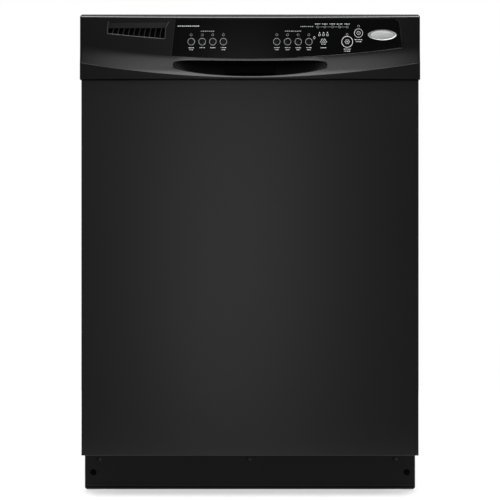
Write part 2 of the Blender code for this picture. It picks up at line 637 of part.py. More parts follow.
RING_R, RING_Z = 150.0, 141.0
ring = []
for i in range(25):
    a = math.radians(90 + 15 + 330 * i / 24)
    ring.append((RING_R * math.cos(a), RING_R * math.sin(a), RING_Z))
first, last = ring[0], ring[-1]
path = [(first[0], first[1] - 4, 126.2), (first[0], first[1] - 2, 134)] + ring + [(last[0], last[1] - 2, 134), (last[0], last[1] - 4, 126.2)]
element = tube(path, 3.6, sides=1)
finish(element, "heating_element", "copper", smooth=60)

dome = turned([(0.0, 158.0), (9.0, 157.0), (16.0, 152.0), (19.0, 144.0), (19.0, 126.0), (0.0, 126.0)][1:-1], (205, -192, 0), steps=24)
close(dome)
finish(dome, "float_dome", "white_plastic", pivot=(205, -192, 126), smooth=35)

feed = tube(rounded_path([(0, 48, 116), (0, 48, 139), (0, 277, 139), (0, 277, 459), (0, 252, 459)], 14.0, 3), 8.5, sides=2)
finish(feed, "feed_tube", "grey_plastic", smooth=50)


def spray_arm(z, half, cy, hub_r, hub_z0, hub_z1):
    arm = box((-half, cy - 17, z - 5), (half, cy + 17, z + 5), bevel=4.0, segments=2)
    return join(arm, cylinder((0, cy, (hub_z0 + hub_z1) / 2), (0, 0, 1), hub_r, hub_z1 - hub_z0, verts=20))


finish(spray_arm(158.0, 214.0, 0, 22.0, 138.4, 168.0), "lower_spray_arm", "grey_plastic", pivot=(0, 0, 158), smooth=35)
finish(spray_arm(438.0, 205.0, 20, 18.0, 430.0, 449.2), "upper_spray_arm", "grey_plastic", pivot=(0, 20, 438), smooth=35)

# ---------------------------------------------------------------- racks

def lattice(lo, hi, nx, ny, nz, wire, name):
    """An open-topped wire basket: the walls and floor of a box, cut into cells and turned into bars."""
    bm = bmesh.new()
    xs = [lo[0] + (hi[0] - lo[0]) * i / nx for i in range(nx + 1)]
    ys = [lo[1] + (hi[1] - lo[1]) * i / ny for i in range(ny + 1)]
    zs = [lo[2] + (hi[2] - lo[2]) * i / nz for i in range(nz + 1)]
    made = {}

    def v(x, y, z):
        k = (round(x, 3), round(y, 3), round(z, 3))
        if k not in made:
            made[k] = bm.verts.new(Vector(k) * MM)
        return made[k]

    for i in range(nx):
        for j in range(ny):
            bm.faces.new((v(xs[i], ys[j], lo[2]), v(xs[i + 1], ys[j], lo[2]), v(xs[i + 1], ys[j + 1], lo[2]), v(xs[i], ys[j + 1], lo[2])))
    for k in range(nz):
        for i in range(nx):
            for y in (lo[1], hi[1]):
                bm.faces.new((v(xs[i], y, zs[k]), v(xs[i + 1], y, zs[k]), v(xs[i + 1], y, zs[k + 1]), v(xs[i], y, zs[k + 1])))
        for j in range(ny):
            for x in (lo[0], hi[0]):
                bm.faces.new((v(x, ys[j], zs[k]), v(x, ys[j + 1], zs[k]), v(x, ys[j + 1], zs[k + 1]), v(x, ys[j], zs[k + 1])))
    bmesh.ops.recalc_face_normals(bm, faces=bm.faces)
    mesh = bpy.data.meshes.new(name)
    bm.to_mesh(mesh)
    bm.free()
    obj = link(name, mesh)
    mod = obj.modifiers.new("bars", "WIREFRAME")
    mod.thickness = wire * MM
    mod.offset = 0.0
    mod.use_boundary = True
    mod.use_replace = True
    mod.use_even_offset = False
    mod.use_relative_offset = False
    bpy.context.view_layer.update()
    graph = bpy.context.evaluated_depsgraph_get()
    baked = bpy.data.meshes.new_from_object(obj.evaluated_get(graph), depsgraph=graph)
    obj.modifiers.clear()
    obj.data = baked
    bpy.data.meshes.remove(mesh)
    return obj


UR_Z0, UR_Z1 = 468.0, 590.0
upper = lattice((-245, UPPER_RACK_FRONT + 3, UR_Z0), (245, RACK_BACK - 3, UR_Z1), 5, 4, 1, 5.0, "upper_lattice")
join(upper, box((-6, 18, 457), (6, RACK_BACK, 469.5)), cylinder((0, 20, 458.0), (0, 0, 1), 12.0, 16.0, verts=20),
     cylinder((0, 240.5, 459), (0, 1, 0), 12.0, 20.0, verts=20))
ROLLER_Z = 529.0
side_step = (RACK_BACK - 3 - UPPER_RACK_FRONT - 3) / 4
for s in (-1, 1):
    for y in (UPPER_RACK_FRONT + 3 + 3 * side_step, RACK_BACK - 3):
        roller = cylinder((s * 255.5, y, ROLLER_Z), (1, 0, 0), 7.0, 6.6, verts=20)
        join(roller, cylinder((s * 249.3, y, ROLLER_Z), (1, 0, 0), 2.2, 8.0, verts=12))
        boolean(upper, [roller], "UNION", "MANIFOLD")
finish(upper, "upper_rack", "wire", smooth=35)

LR_Z0, LR_Z1 = 182.0, 330.0
lower = lattice((-246, LOWER_RACK_FRONT + 3, LR_Z0), (246, RACK_BACK - 3, LR_Z1), 5, 4, 1, 5.0, "lower_lattice")
WHEELS = {"front_left": (-1, -66.0), "front_right": (1, -66.0), "rear_left": (-1, 190.0), "rear_right": (1, 190.0)}
WHEEL_Z = TRACK_Z + GAP + WHEEL_R
for s, y in WHEELS.values():
    hanger = box((min(s * 242.7, s * 249.2), y - 5, WHEEL_Z - 5), (max(s * 242.7, s * 249.2), y + 5, LR_Z0 + 1.1))
    join(hanger, cylinder((s * 251.5, y, WHEEL_Z), (1, 0, 0), 3.0, 12.0, verts=16))
    boolean(lower, [hanger], "UNION", "MANIFOLD")
finish(lower, "lower_rack", "wire", smooth=35)
for where, (s, y) in WHEELS.items():
    wheel = cylinder((s * 253.0, y, WHEEL_Z), (1, 0, 0), WHEEL_R, 7.0, verts=28)
    cut(wheel, cylinder((s * 253.0, y, WHEEL_Z), (1, 0, 0), 3.3, 12.0, verts=16))
    finish(wheel, "lower_rack_wheel_" + where, "grey_plastic", pivot=(s * 253.0, y, WHEEL_Z), smooth=35)

basket = box((-120, -178, LR_Z0 + 3.2), (120, -112, 300), bevel=6.0, segments=1, along=2)
cut(basket, box((-117.5, -175.5, LR_Z0 + 5.7), (-1.2, -114.5, 320)), box((1.2, -175.5, LR_Z0 + 5.7), (117.5, -114.5, 320)))
join(basket, box((-1.5, -147, 290), (1.5, -143, 318)), box((-50, -148, 314), (50, -142, 322), bevel=1.5, segments=1))
finish(basket, "silverware_basket", "grey_plastic", smooth=35)

for side, s in (("left", -1), ("right", 1)):
    lo, hi = sorted((s * 251.4, s * 261.3))
    rail = box((lo, -200, 520), (hi, 250, 538))
    cut(rail, box((min(s * 245, s * 259.9), -210, 521.6), (max(s * 245, s * 259.9), 260, 536.4)))
    finish(rail, "upper_rack_rail_" + side, "steel")
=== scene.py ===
"""Looks of the built-in dishwasher: fine console, printed keypad, materials, racks, springs and blanket.

Everything is in metres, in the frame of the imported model: +X right, the door faces -Y, +Z up.
"""
import json
import math

import bmesh
import bpy
from mathutils import Matrix, Vector

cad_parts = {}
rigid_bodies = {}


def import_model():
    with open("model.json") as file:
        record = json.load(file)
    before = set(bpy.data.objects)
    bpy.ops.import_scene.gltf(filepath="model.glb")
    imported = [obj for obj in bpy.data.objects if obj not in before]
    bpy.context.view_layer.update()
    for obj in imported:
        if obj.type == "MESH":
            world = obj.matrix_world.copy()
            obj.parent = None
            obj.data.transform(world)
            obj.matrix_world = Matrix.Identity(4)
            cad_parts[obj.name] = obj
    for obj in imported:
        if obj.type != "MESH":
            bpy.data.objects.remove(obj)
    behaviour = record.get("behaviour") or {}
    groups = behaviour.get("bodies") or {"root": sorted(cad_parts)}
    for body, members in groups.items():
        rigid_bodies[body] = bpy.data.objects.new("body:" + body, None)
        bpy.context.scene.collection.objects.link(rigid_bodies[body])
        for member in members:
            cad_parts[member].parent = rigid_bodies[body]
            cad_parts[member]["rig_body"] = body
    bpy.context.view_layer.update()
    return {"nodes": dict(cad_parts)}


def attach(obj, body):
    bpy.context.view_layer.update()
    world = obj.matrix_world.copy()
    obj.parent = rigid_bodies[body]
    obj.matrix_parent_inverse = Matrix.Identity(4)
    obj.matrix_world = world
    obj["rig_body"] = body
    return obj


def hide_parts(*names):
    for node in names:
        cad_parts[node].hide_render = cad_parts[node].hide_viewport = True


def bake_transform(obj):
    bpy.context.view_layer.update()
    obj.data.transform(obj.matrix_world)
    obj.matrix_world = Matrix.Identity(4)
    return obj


for old in list(bpy.data.objects):
    bpy.data.objects.remove(old, do_unlink=True)

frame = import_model()
nodes = frame["nodes"]
MM = 0.001
scene = bpy.context.scene

# ------------------------------------------------------------------ shape rules shared with the model
HALF_W, HEIGHT = 303.2, 864.0
DOOR_Y1, CON_Z0 = -262.3, 745.5
FACE_C, FACE_E = -299.5, -289.0
LIP_C, LIP_E = -311.0, -293.5
CREASE1_C, CREASE1_E = 781.6, 805.4
CREASE2_C, CREASE2_E = 749.1, 775.9
TOP_SLOPE = 0.21
POCKET_X = 143.4
OVL_TOP = 852.6
VENT_X0, VENT_X1, VENT_TOP, VENT_MID = -252.5, -145.0, 847.4, 837.0


def u2(x):
    return (x / HALF_W) ** 2


def face_y(x):
    return FACE_C + (FACE_E - FACE_C) * u2(x)


def lip_y(x):
    return LIP_C + (LIP_E - LIP_C) * u2(x)


def crease1(x):
    return CREASE1_C + (CREASE1_E - CREASE1_C) * u2(x)


def crease2(x):
    return CREASE2_C + (CREASE2_E - CREASE2_C) * u2(x)


def face_slope(x):
    return 2 * (FACE_E - FACE_C) * x / HALF_W ** 2


def scoop_y(x, t):
    reach = face_y(x) - (lip_y(x) + 1.2)
    return face_y(x) - reach * (0.32 * t + 0.68 * t ** 2.2)


def vent_floor(x):
    return 827.4 + (817.9 - 827.4) * (x - VENT_X0) / (VENT_X1 - VENT_X0)


def overlay_edges(z):
    f = (z - 790.0) / (OVL_TOP - 790.0)
    return -139.6 + 7.0 * f, 272.8 - 7.2 * f


# ------------------------------------------------------------------ mesh helpers
def new_object(name, mesh):
    obj = bpy.data.objects.new(name, mesh)
    scene.collection.objects.link(obj)
    return obj


def from_bmesh(name, bm, smooth=None, recalc=True):
    if recalc:
        bmesh.ops.recalc_face_normals(bm, faces=bm.faces)
    mesh = bpy.data.meshes.new(name)
    bm.to_mesh(mesh)
    bm.free()
    if smooth is not None:
        mesh.shade_smooth()
        mesh.set_sharp_from_angle(angle=math.radians(smooth))
    return new_object(name, mesh)


def loft(sections, name="loft", smooth=None, closed=True):
    bm = bmesh.new()
    rings = [[bm.verts.new(Vector(p) * MM) for p in s] for s in sections]
    n = len(rings[0])
    for a, b in zip(rings, rings[1:]):
        for i in range(n if closed else n - 1):
            bm.faces.new((a[i], a[(i + 1) % n], b[(i + 1) % n], b[i]))
    if closed:
        bm.faces.new(rings[0])
        bm.faces.new(rings[-1][::-1])
    return from_bmesh(name, bm, smooth)


def box(lo, hi, name="box", bevel=0.0, segments=3, along=None, smooth=None):
    bm = bmesh.new()
    bmesh.ops.create_cube(bm, size=1.0)
    bmesh.ops.scale(bm, vec=[(b - a) * MM for a, b in zip(lo, hi)], verts=bm.verts)
    bmesh.ops.translate(bm, vec=[(a + b) / 2 * MM for a, b in zip(lo, hi)], verts=bm.verts)
    if bevel:
        edges = bm.edges[:]
        if along is not None:
            edges = [e for e in edges if abs((e.verts[1].co - e.verts[0].co).normalized()[along]) > 0.9]
        bmesh.ops.bevel(bm, geom=edges, offset=bevel * MM, segments=segments, profile=0.5, affect="EDGES")
    return from_bmesh(name, bm, smooth if smooth is not None else (40 if bevel else None))


def cylinder(centre, axis, radius, depth, name="cylinder", verts=48, r2=None, smooth=40):
    bm = bmesh.new()
    bmesh.ops.create_cone(bm, cap_ends=True, segments=verts, radius1=radius * MM,
                          radius2=(radius if r2 is None else r2) * MM, depth=depth * MM)
    turn = Vector((0, 0, 1)).rotation_difference(Vector(axis).normalized()).to_matrix().to_4x4()
    bmesh.ops.transform(bm, matrix=Matrix.Translation(Vector(centre) * MM) @ turn, verts=bm.verts)
    return from_bmesh(name, bm, smooth)


def boolean(obj, others, op="DIFFERENCE", solver="EXACT"):
    for other in others:
        mod = obj.modifiers.new("b", "BOOLEAN")
        mod.operation, mod.object, mod.solver = op, other, solver
        bpy.context.view_layer.update()
        graph = bpy.context.evaluated_depsgraph_get()
        mesh = bpy.data.meshes.new_from_object(obj.evaluated_get(graph), depsgraph=graph)
        obj.modifiers.clear()
        obj.data = mesh
        bpy.data.objects.remove(other, do_unlink=True)
    return obj


def apply_modifiers(obj):
    bpy.context.view_layer.update()
    graph = bpy.context.evaluated_depsgraph_get()
    mesh = bpy.data.meshes.new_from_object(obj.evaluated_get(graph), depsgraph=graph)
    obj.modifiers.clear()
    obj.data = mesh
    return obj


def smooth(obj, angle):
    obj.data.shade_smooth()
    obj.data.set_sharp_from_angle(angle=math.radians(angle))
    return obj


def weighted(obj, angle):
    """Smooth shading whose normals follow the large faces, so that a small bevel doesn't bend them."""
    smooth(obj, angle)
    mod = obj.modifiers.new("w", "WEIGHTED_NORMAL")
    mod.keep_sharp = True
    mod.weight = 100
    return apply_modifiers(obj)


def join_objects(name, objs):
    """Several meshes as one object, each keeping its own faces."""
    bm = bmesh.new()
    for o in objs:
        o.data.transform(o.matrix_world)
        bm.from_mesh(o.data)
        bpy.data.objects.remove(o, do_unlink=True)
    return from_bmesh(name, bm, None, recalc=False)


def lathe(profile, name, steps=48, centre=(0, 0, 0), axis=(0, 0, 1), smooth_angle=35):
    """A turned shape from (radius, height) points in millimetres; points on the axis close it."""
    bm = bmesh.new()
    rings = []
    for r, h in profile:
        if r < 1e-6:
            rings.append([bm.verts.new((0, 0, h * MM))])
        else:
            rings.append([bm.verts.new((r * MM * math.cos(2 * math.pi * i / steps), r * MM * math.sin(2 * math.pi * i / steps), h * MM))
                          for i in range(steps)])
    for a, b in zip(rings, rings[1:]):
        for i in range(steps):
            j = (i + 1) % steps
            if len(a) == 1 and len(b) > 1:
                bm.faces.new((a[0], b[i], b[j]))
            elif len(b) == 1 and len(a) > 1:
                bm.faces.new((a[i], b[0], a[j]))
            elif len(a) > 1:
                bm.faces.new((a[i], b[i], b[j], a[j]))
    turn = Vector((0, 0, 1)).rotation_difference(Vector(axis).normalized()).to_matrix().to_4x4()
    bmesh.ops.transform(bm, matrix=Matrix.Translation(Vector(centre) * MM) @ turn, verts=bm.verts)
    return from_bmesh(name, bm, smooth_angle)


def wires(name, lines, radius, resolution=2):
    """Round wires along several polylines, as one curve object; each line is (points, cyclic)."""
    curve = bpy.data.curves.new(name, "CURVE")
    curve.dimensions = "3D"
    curve.bevel_depth = radius * MM
    curve.bevel_resolution = resolution
    curve.use_fill_caps = True
    for line in lines:
        pts, cyclic = line if isinstance(line[1], bool) else (line, False)
        spline = curve.splines.new("POLY")
        spline.points.add(len(pts) - 1)
        for p, co in zip(spline.points, pts):
            p.co = (*(Vector(co) * MM), 1)
        spline.use_cyclic_u = cyclic
        spline.use_smooth = True
    obj = bpy.data.objects.new(name, curve)
    scene.collection.objects.link(obj)
    return obj


def to_mesh(obj, smooth_angle=50):
    bpy.context.view_layer.update()
    graph = bpy.context.evaluated_depsgraph_get()
    mesh = bpy.data.meshes.new_from_object(obj.evaluated_get(graph), depsgraph=graph)
    name = obj.name
    bpy.data.objects.remove(obj, do_unlink=True)
    out = new_object(name, mesh)
    out.data.shade_smooth()
    out.data.set_sharp_from_angle(angle=math.radians(smooth_angle))
    return out


def rounded(points, radius, steps=5):
    out = [Vector(points[0])]
    for a, b, c in zip(points, points[1:], points[2:]):
        a, b, c = Vector(a), Vector(b), Vector(c)
        u, v = (a - b).normalized(), (c - b).normalized()
        if (u + v).length < 1e-4:
            out.append(b)
            continue
        half = u.angle(v) / 2
        r = min(radius, 0.45 * min((a - b).length, (c - b).length) * math.tan(half))
        d = r / math.tan(half)
        mid = b + (u + v).normalized() * (r / math.sin(half))
        e1, e2 = b + u * d - mid, b + v * d - mid
        total = e1.angle(e2)
        for i in range(steps + 1):
            t = i / steps
            out.append(mid + (e1 * math.sin((1 - t) * total) + e2 * math.sin(t * total)) / math.sin(total))
    out.append(Vector(points[-1]))
    return out


def stations(x0, x1, count):
    return [x0 + (x1 - x0) * i / (count - 1) for i in range(count)]


# ------------------------------------------------------------------ materials
def principled(name, colour, rough, metal=0.0, spec=0.5, coat=0.0, coat_rough=0.1, sheen=0.0):
    mat = bpy.data.materials.new(name)
    mat.use_nodes = True
    tree = mat.node_tree
    sh = tree.nodes["Principled BSDF"]
    sh.inputs["Base Color"].default_value = (*colour, 1)
    sh.inputs["Roughness"].default_value = rough
    sh.inputs["Metallic"].default_value = metal
    sh.inputs["Specular IOR Level"].default_value = spec
    sh.inputs["Coat Weight"].default_value = coat
    sh.inputs["Coat Roughness"].default_value = coat_rough
    if sheen:
        sh.inputs["Sheen Weight"].default_value = sheen
    return mat, tree, sh


def coords(tree, scale=(1, 1, 1)):
    tc = tree.nodes.new("ShaderNodeTexCoord")
    mp = tree.nodes.new("ShaderNodeMapping")
    mp.inputs["Scale"].default_value = scale
    tree.links.new(tc.outputs["Object"], mp.inputs["Vector"])
    return mp.outputs["Vector"]


def noise(tree, vec, scale, detail=3.0, rough=0.5):
    n = tree.nodes.new("ShaderNodeTexNoise")
    n.inputs["Scale"].default_value = scale
    n.inputs["Detail"].default_value = detail
    n.inputs["Roughness"].default_value = rough
    tree.links.new(vec, n.inputs["Vector"])
    return n.outputs["Fac"]


def ramp(tree, fac, stops):
    r = tree.nodes.new("ShaderNodeValToRGB")
    r.color_ramp.elements[0].position, r.color_ramp.elements[0].color = stops[0][0], (*stops[0][1], 1)
    r.color_ramp.elements[1].position, r.color_ramp.elements[1].color = stops[-1][0], (*stops[-1][1], 1)
    for pos, col in stops[1:-1]:
        r.color_ramp.elements.new(pos).color = (*col, 1)
    tree.links.new(fac, r.inputs["Fac"])
    return r.outputs["Color"]


def span(tree, fac, lo, hi):
    m = tree.nodes.new("ShaderNodeMapRange")
    m.inputs["To Min"].default_value, m.inputs["To Max"].default_value = lo, hi
    tree.links.new(fac, m.inputs["Value"])
    return m.outputs["Result"]


def bump(tree, sh, height, strength, distance, normal=None):
    b = tree.nodes.new("ShaderNodeBump")
    b.inputs["Strength"].default_value = strength
    b.inputs["Distance"].default_value = distance
    tree.links.new(height, b.inputs["Height"])
    if normal is not None:
        tree.links.new(normal, b.inputs["Normal"])
    tree.links.new(b.outputs["Normal"], sh.inputs["Normal"])
    return b.outputs["Normal"]


def scaled(c, k):
    return tuple(min(1.0, v * k) for v in c)


def moulded(name, colour, rough, spec=0.5, grain=900.0, bump_m=0.00004, strength=0.35, spread=0.06, tint=0.12):
    """Moulded plastic: fine cavity grain, slow colour drift and a slightly uneven gloss."""
    mat, tree, sh = principled(name, colour, rough, spec=spec)
    vec = coords(tree)
    slow = noise(tree, vec, 6.0, 2.0)
    fine = noise(tree, vec, grain, 2.0, 0.6)
    tree.links.new(ramp(tree, slow, [(0.3, scaled(colour, 1 - tint)), (0.7, scaled(colour, 1 + tint))]), sh.inputs["Base Color"])
    tree.links.new(span(tree, slow, rough - spread, rough + spread), sh.inputs["Roughness"])
    bump(tree, sh, fine, strength, bump_m)
    return mat


def painted(name, colour, rough, spec=0.5, peel=160.0):
    """Baked enamel on sheet steel: faint orange peel, very fine flow marks."""
    mat, tree, sh = principled(name, colour, rough, spec=spec)
    vec = coords(tree)
    slow = noise(tree, vec, 3.0, 2.0)
    peel_n = noise(tree, vec, peel, 2.0, 0.4)
    tree.links.new(ramp(tree, slow, [(0.3, scaled(colour, 0.93)), (0.7, scaled(colour, 1.07))]), sh.inputs["Base Color"])
    tree.links.new(span(tree, slow, rough - 0.02, rough + 0.02), sh.inputs["Roughness"])
    bump(tree, sh, peel_n, 0.12, 0.00006)
    return mat


def brushed(name, colour, rough, along="X", spread=0.08, metal=1.0):
    """Rolled or brushed steel: long streaks along one axis."""
    mat, tree, sh = principled(name, colour, rough, metal=metal)
    scale = {"X": (2, 260, 260), "Y": (260, 2, 260), "Z": (260, 260, 2)}[along]
    vec = coords(tree, scale)
    streak = noise(tree, vec, 3.0, 4.0, 0.6)
    slow = noise(tree, coords(tree), 5.0, 2.0)
    tree.links.new(ramp(tree, streak, [(0.25, scaled(colour, 0.86)), (0.75, scaled(colour, 1.12))]), sh.inputs["Base Color"])
    tree.links.new(span(tree, streak, rough - spread, rough + spread), sh.inputs["Roughness"])
    bump(tree, sh, streak, 0.15, 0.00003)
    return mat


def galvanised(name, colour=(0.56, 0.57, 0.58)):
    """Zinc-coated sheet: crystalline spangle in colour and gloss."""
    mat, tree, sh = principled(name, colour, 0.42, metal=0.9)
    v = tree.nodes.new("ShaderNodeTexVoronoi")
    v.inputs["Scale"].default_value = 160.0
    vec = coords(tree)
    tree.links.new(vec, v.inputs["Vector"])
    bw = tree.nodes.new("ShaderNodeRGBToBW")
    tree.links.new(v.outputs["Color"], bw.inputs["Color"])
    tree.links.new(ramp(tree, bw.outputs["Val"], [(0.2, scaled(colour, 0.88)), (0.8, scaled(colour, 1.1))]), sh.inputs["Base Color"])
    tree.links.new(span(tree, bw.outputs["Val"], 0.34, 0.5), sh.inputs["Roughness"])
    bump(tree, sh, noise(tree, vec, 500.0), 0.1, 0.00003)
    return mat


def felt(name, colour):
    """Needled fibre: matt, with short tangled fibres in colour and height."""
    mat, tree, sh = principled(name, colour, 0.95, spec=0.15, sheen=0.35)
    vec = coords(tree)
    strands = noise(tree, coords(tree, (1, 4, 1)), 420.0, 5.0, 0.7)
    tufts = noise(tree, vec, 70.0, 3.0, 0.6)
    tree.links.new(ramp(tree, strands, [(0.3, scaled(colour, 0.55)), (0.55, colour), (0.75, scaled(colour, 1.9))]), sh.inputs["Base Color"])
    tree.links.new(span(tree, tufts, 0.88, 1.0), sh.inputs["Roughness"])
    first = bump(tree, sh, strands, 0.6, 0.0006)
    bump(tree, sh, tufts, 0.5, 0.0015, first)
    return mat


def give(obj, mat):
    obj.data.materials.clear()
    obj.data.materials.append(mat)
    return obj


M_PANEL = painted("black_enamel", (0.0026, 0.0026, 0.0029), 0.235, spec=0.38)
M_CONSOLE = moulded("black_console_plastic", (0.0020, 0.0020, 0.0022), 0.25, spec=0.29, grain=700, bump_m=0.00003, strength=0.3, spread=0.03)
M_OVERLAY = painted("gloss_overlay", (0.0012, 0.0012, 0.0014), 0.15, spec=0.14, peel=60.0)
M_KEY = painted("gloss_key", (0.0016, 0.0016, 0.0018), 0.18, spec=0.24, peel=60.0)
M_TOE = moulded("black_kick_plastic", (0.0020, 0.0020, 0.0022), 0.42, spec=0.13, grain=500, bump_m=0.00005)
M_PRINT = moulded("pale_print", (0.92, 0.93, 0.94), 0.55, grain=1500, bump_m=0.00001, strength=0.2, tint=0.05)
M_PRINT_DIM = moulded("dim_print", (0.40, 0.405, 0.41), 0.55, grain=1500, bump_m=0.00001, strength=0.2, tint=0.05)
M_BADGE = brushed("satin_badge_metal", (0.80, 0.805, 0.81), 0.36, "X")
# painted shade: near-black dull plastic set where shade falls, in the vent recess, behind the vent blades, in the toe
# kick's groove and holes and in the spray-jet bores
M_PAINTED_SHADE = moulded("painted_shade_plastic", (0.0008, 0.0008, 0.0009), 0.7, spec=0.05, grain=600)
M_LINER = moulded("light_grey_liner", (0.44, 0.45, 0.47), 0.42, grain=450, bump_m=0.00006, spread=0.05, tint=0.04)
M_TUB = moulded("speckled_grey_tub", (0.40, 0.41, 0.43), 0.44, grain=450, bump_m=0.00008, spread=0.05, tint=0.05)
M_GREY = moulded("grey_part_plastic", (0.34, 0.35, 0.37), 0.45, grain=600, bump_m=0.00005, tint=0.06)
M_WHITE = moulded("white_part_plastic", (0.72, 0.73, 0.72), 0.42, grain=600, bump_m=0.00005, tint=0.03)
M_RUBBER = moulded("black_rubber", (0.022, 0.022, 0.022), 0.72, grain=800, bump_m=0.00008, tint=0.15)
M_STEEL_X = brushed("steel_streaked_x", (0.55, 0.56, 0.57), 0.36, "X")
M_STEEL_Y = brushed("steel_streaked_y", (0.55, 0.56, 0.57), 0.36, "Y")
M_STEEL_Z = brushed("steel_streaked_z", (0.55, 0.56, 0.57), 0.36, "Z")
M_GALV = galvanised("galvanised_sheet")
M_SCREW = moulded("blackened_screw", (0.0006, 0.0006, 0.0007), 0.7, spec=0.04, grain=900, bump_m=0.00004)
M_NYLON = moulded("blue_grey_nylon", (0.30, 0.34, 0.40), 0.42, grain=300, bump_m=0.00010, tint=0.06)
M_BLACK = moulded("black_small_plastic", (0.012, 0.012, 0.013), 0.42, grain=700)
M_BADGE_LINE = moulded("badge_line", (0.015, 0.015, 0.016), 0.4, grain=900, bump_m=0.00001)
# painted highlight: lighter grey for the bead outlining the vent
M_VENT_HIGHLIGHT = moulded("vent_painted_highlight", (0.105, 0.105, 0.108), 0.22, spec=0.6, grain=900, bump_m=0.00001)
# painted highlight: lighter grey for the thin lines along the keypad's edges
M_BORDER_HIGHLIGHT = moulded("overlay_edge_highlight", (0.0260, 0.0260, 0.0270), 0.25, spec=0.5, grain=900, bump_m=0.00001)
# painted highlight: lighter plastic for the vent blades, which are part of the black console moulding
M_BLADE_HIGHLIGHT = moulded("vent_blade_painted_highlight", (0.0420, 0.0420, 0.0430), 0.30, spec=0.5, grain=900, bump_m=0.00001)
# painted shade: the paddle deep in the pocket, darker and duller than the console's black plastic
M_PADDLE_SHADE = moulded("paddle_painted_shade", (0.0012, 0.0012, 0.0013), 0.7, spec=0.08, grain=600)
M_ELEMENT = brushed("heater_sheath", (0.40, 0.34, 0.29), 0.42, "Z", spread=0.12)
M_RING = moulded("ring_print", (0.50, 0.505, 0.51), 0.55, grain=1500, bump_m=0.00001, strength=0.2, tint=0.05)
# painted shade: a darker, duller copy of the console plastic on the ramp inside the vent recess
M_RAMP_SHADE = moulded("vent_ramp_painted_shade", (0.0016, 0.0016, 0.0018), 0.30, spec=0.17, grain=700, bump_m=0.00003, strength=0.3, spread=0.03)
# painted light: a lighter, shinier copy of the console plastic for the lower lip strip
M_LIP_LIGHT = moulded("console_lip_painted_light", (0.0024, 0.0024, 0.0026), 0.25, spec=0.42, grain=700, bump_m=0.00003, strength=0.3, spread=0.03)
# dark zinc of the toe-kick clips; also used as a painted highlight on the strip along the toe kick's lower edge
M_CLIP_AND_HIGHLIGHT = moulded("toe_clip_zinc_and_highlight", (0.020, 0.020, 0.021), 0.5, spec=0.3, grain=900)
# painted highlight: the console plastic made far more reflective on its top fillet
M_EDGE_HIGHLIGHT = moulded("console_edge_painted_highlight", (0.0020, 0.0020, 0.0022), 0.16, spec=1.0, grain=700, bump_m=0.00001, strength=0.1, spread=0.02)
M_DARK_GREY = moulded("dark_grey_strainer", (0.10, 0.105, 0.11), 0.5, grain=500, bump_m=0.00006)
M_ARM = moulded("arm_grey_plastic", (0.22, 0.23, 0.25), 0.40, grain=500, bump_m=0.00006, tint=0.05)
M_FELT = felt("quilted_felt", (0.085, 0.085, 0.090))
M_BOARD = moulded("green_board", (0.02, 0.13, 0.06), 0.5, grain=300, bump_m=0.00010)


def pocket_shaded_plastic(name):
    """The pocket's plastic: as glossy as the console at its two ends, dull towards the middle, its colour darkened
    towards the middle as painted shade and lightened at the two tips as painted light.
    """
    mat, tree, sh = principled(name, (0.0012, 0.0012, 0.0013), 0.34, spec=0.4)
    tc = tree.nodes.new("ShaderNodeTexCoord")
    sep = tree.nodes.new("ShaderNodeSeparateXYZ")
    mag = tree.nodes.new("ShaderNodeMath")
    mag.operation = "ABSOLUTE"
    tree.links.new(tc.outputs["Object"], sep.inputs[0])
    tree.links.new(sep.outputs["X"], mag.inputs[0])
    m = tree.nodes.new("ShaderNodeMapRange")
    m.interpolation_type = "SMOOTHSTEP"
    m.inputs["From Min"].default_value, m.inputs["From Max"].default_value = 0.112, 0.141
    m.inputs["To Min"].default_value, m.inputs["To Max"].default_value = 0.95, 0.27
    tree.links.new(mag.outputs[0], m.inputs["Value"])
    tree.links.new(m.outputs["Result"], sh.inputs["Roughness"])
    tone = tree.nodes.new("ShaderNodeMapRange")
    tone.inputs["From Min"].default_value, tone.inputs["From Max"].default_value = 0.122, 0.1434
    tree.links.new(mag.outputs[0], tone.inputs["Value"])
    tree.links.new(ramp(tree, tone.outputs["Result"], [(0.0, (0.0004, 0.0004, 0.00045)), (0.35, (0.0030, 0.0030, 0.0032)), (0.75, (0.013, 0.013, 0.0135)), (1.0, (0.030, 0.030, 0.031))]), sh.inputs["Base Color"])
    bump(tree, sh, noise(tree, coords(tree), 700.0, 2.0, 0.6), 0.3, 0.00003)
    return mat


M_POCKET_SHADE = pocket_shaded_plastic("hand_pocket_painted_shade")


def rim_highlight_plastic(name):
    """The rim above the pocket: a painted highlight, its colour and metallic raised over its middle so it reflects
    brightly there, as dull as the console at its two ends.
    """
    mat, tree, sh = principled(name, (0.0020, 0.0020, 0.0022), 0.25, spec=0.29)
    tc = tree.nodes.new("ShaderNodeTexCoord")
    sep = tree.nodes.new("ShaderNodeSeparateXYZ")
    mag = tree.nodes.new("ShaderNodeMath")
    mag.operation = "ABSOLUTE"
    tree.links.new(tc.outputs["Object"], sep.inputs[0])
    tree.links.new(sep.outputs["X"], mag.inputs[0])
    tone = tree.nodes.new("ShaderNodeMapRange")
    tone.interpolation_type = "SMOOTHSTEP"
    tone.inputs["From Min"].default_value, tone.inputs["From Max"].default_value = 0.146, 0.108
    tree.links.new(mag.outputs[0], tone.inputs["Value"])
    tree.links.new(tone.outputs["Result"], sh.inputs["Metallic"])
    tree.links.new(ramp(tree, tone.outputs["Result"], [(0.0, (0.0020, 0.0020, 0.0022)), (1.0, (0.056, 0.056, 0.057))]), sh.inputs["Base Color"])
    bump(tree, sh, noise(tree, coords(tree), 700.0, 2.0, 0.6), 0.3, 0.00003)
    return mat


M_RIM_HIGHLIGHT = rim_highlight_plastic("pocket_rim_painted_highlight")


def body_of(node):
    return nodes[node]["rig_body"]


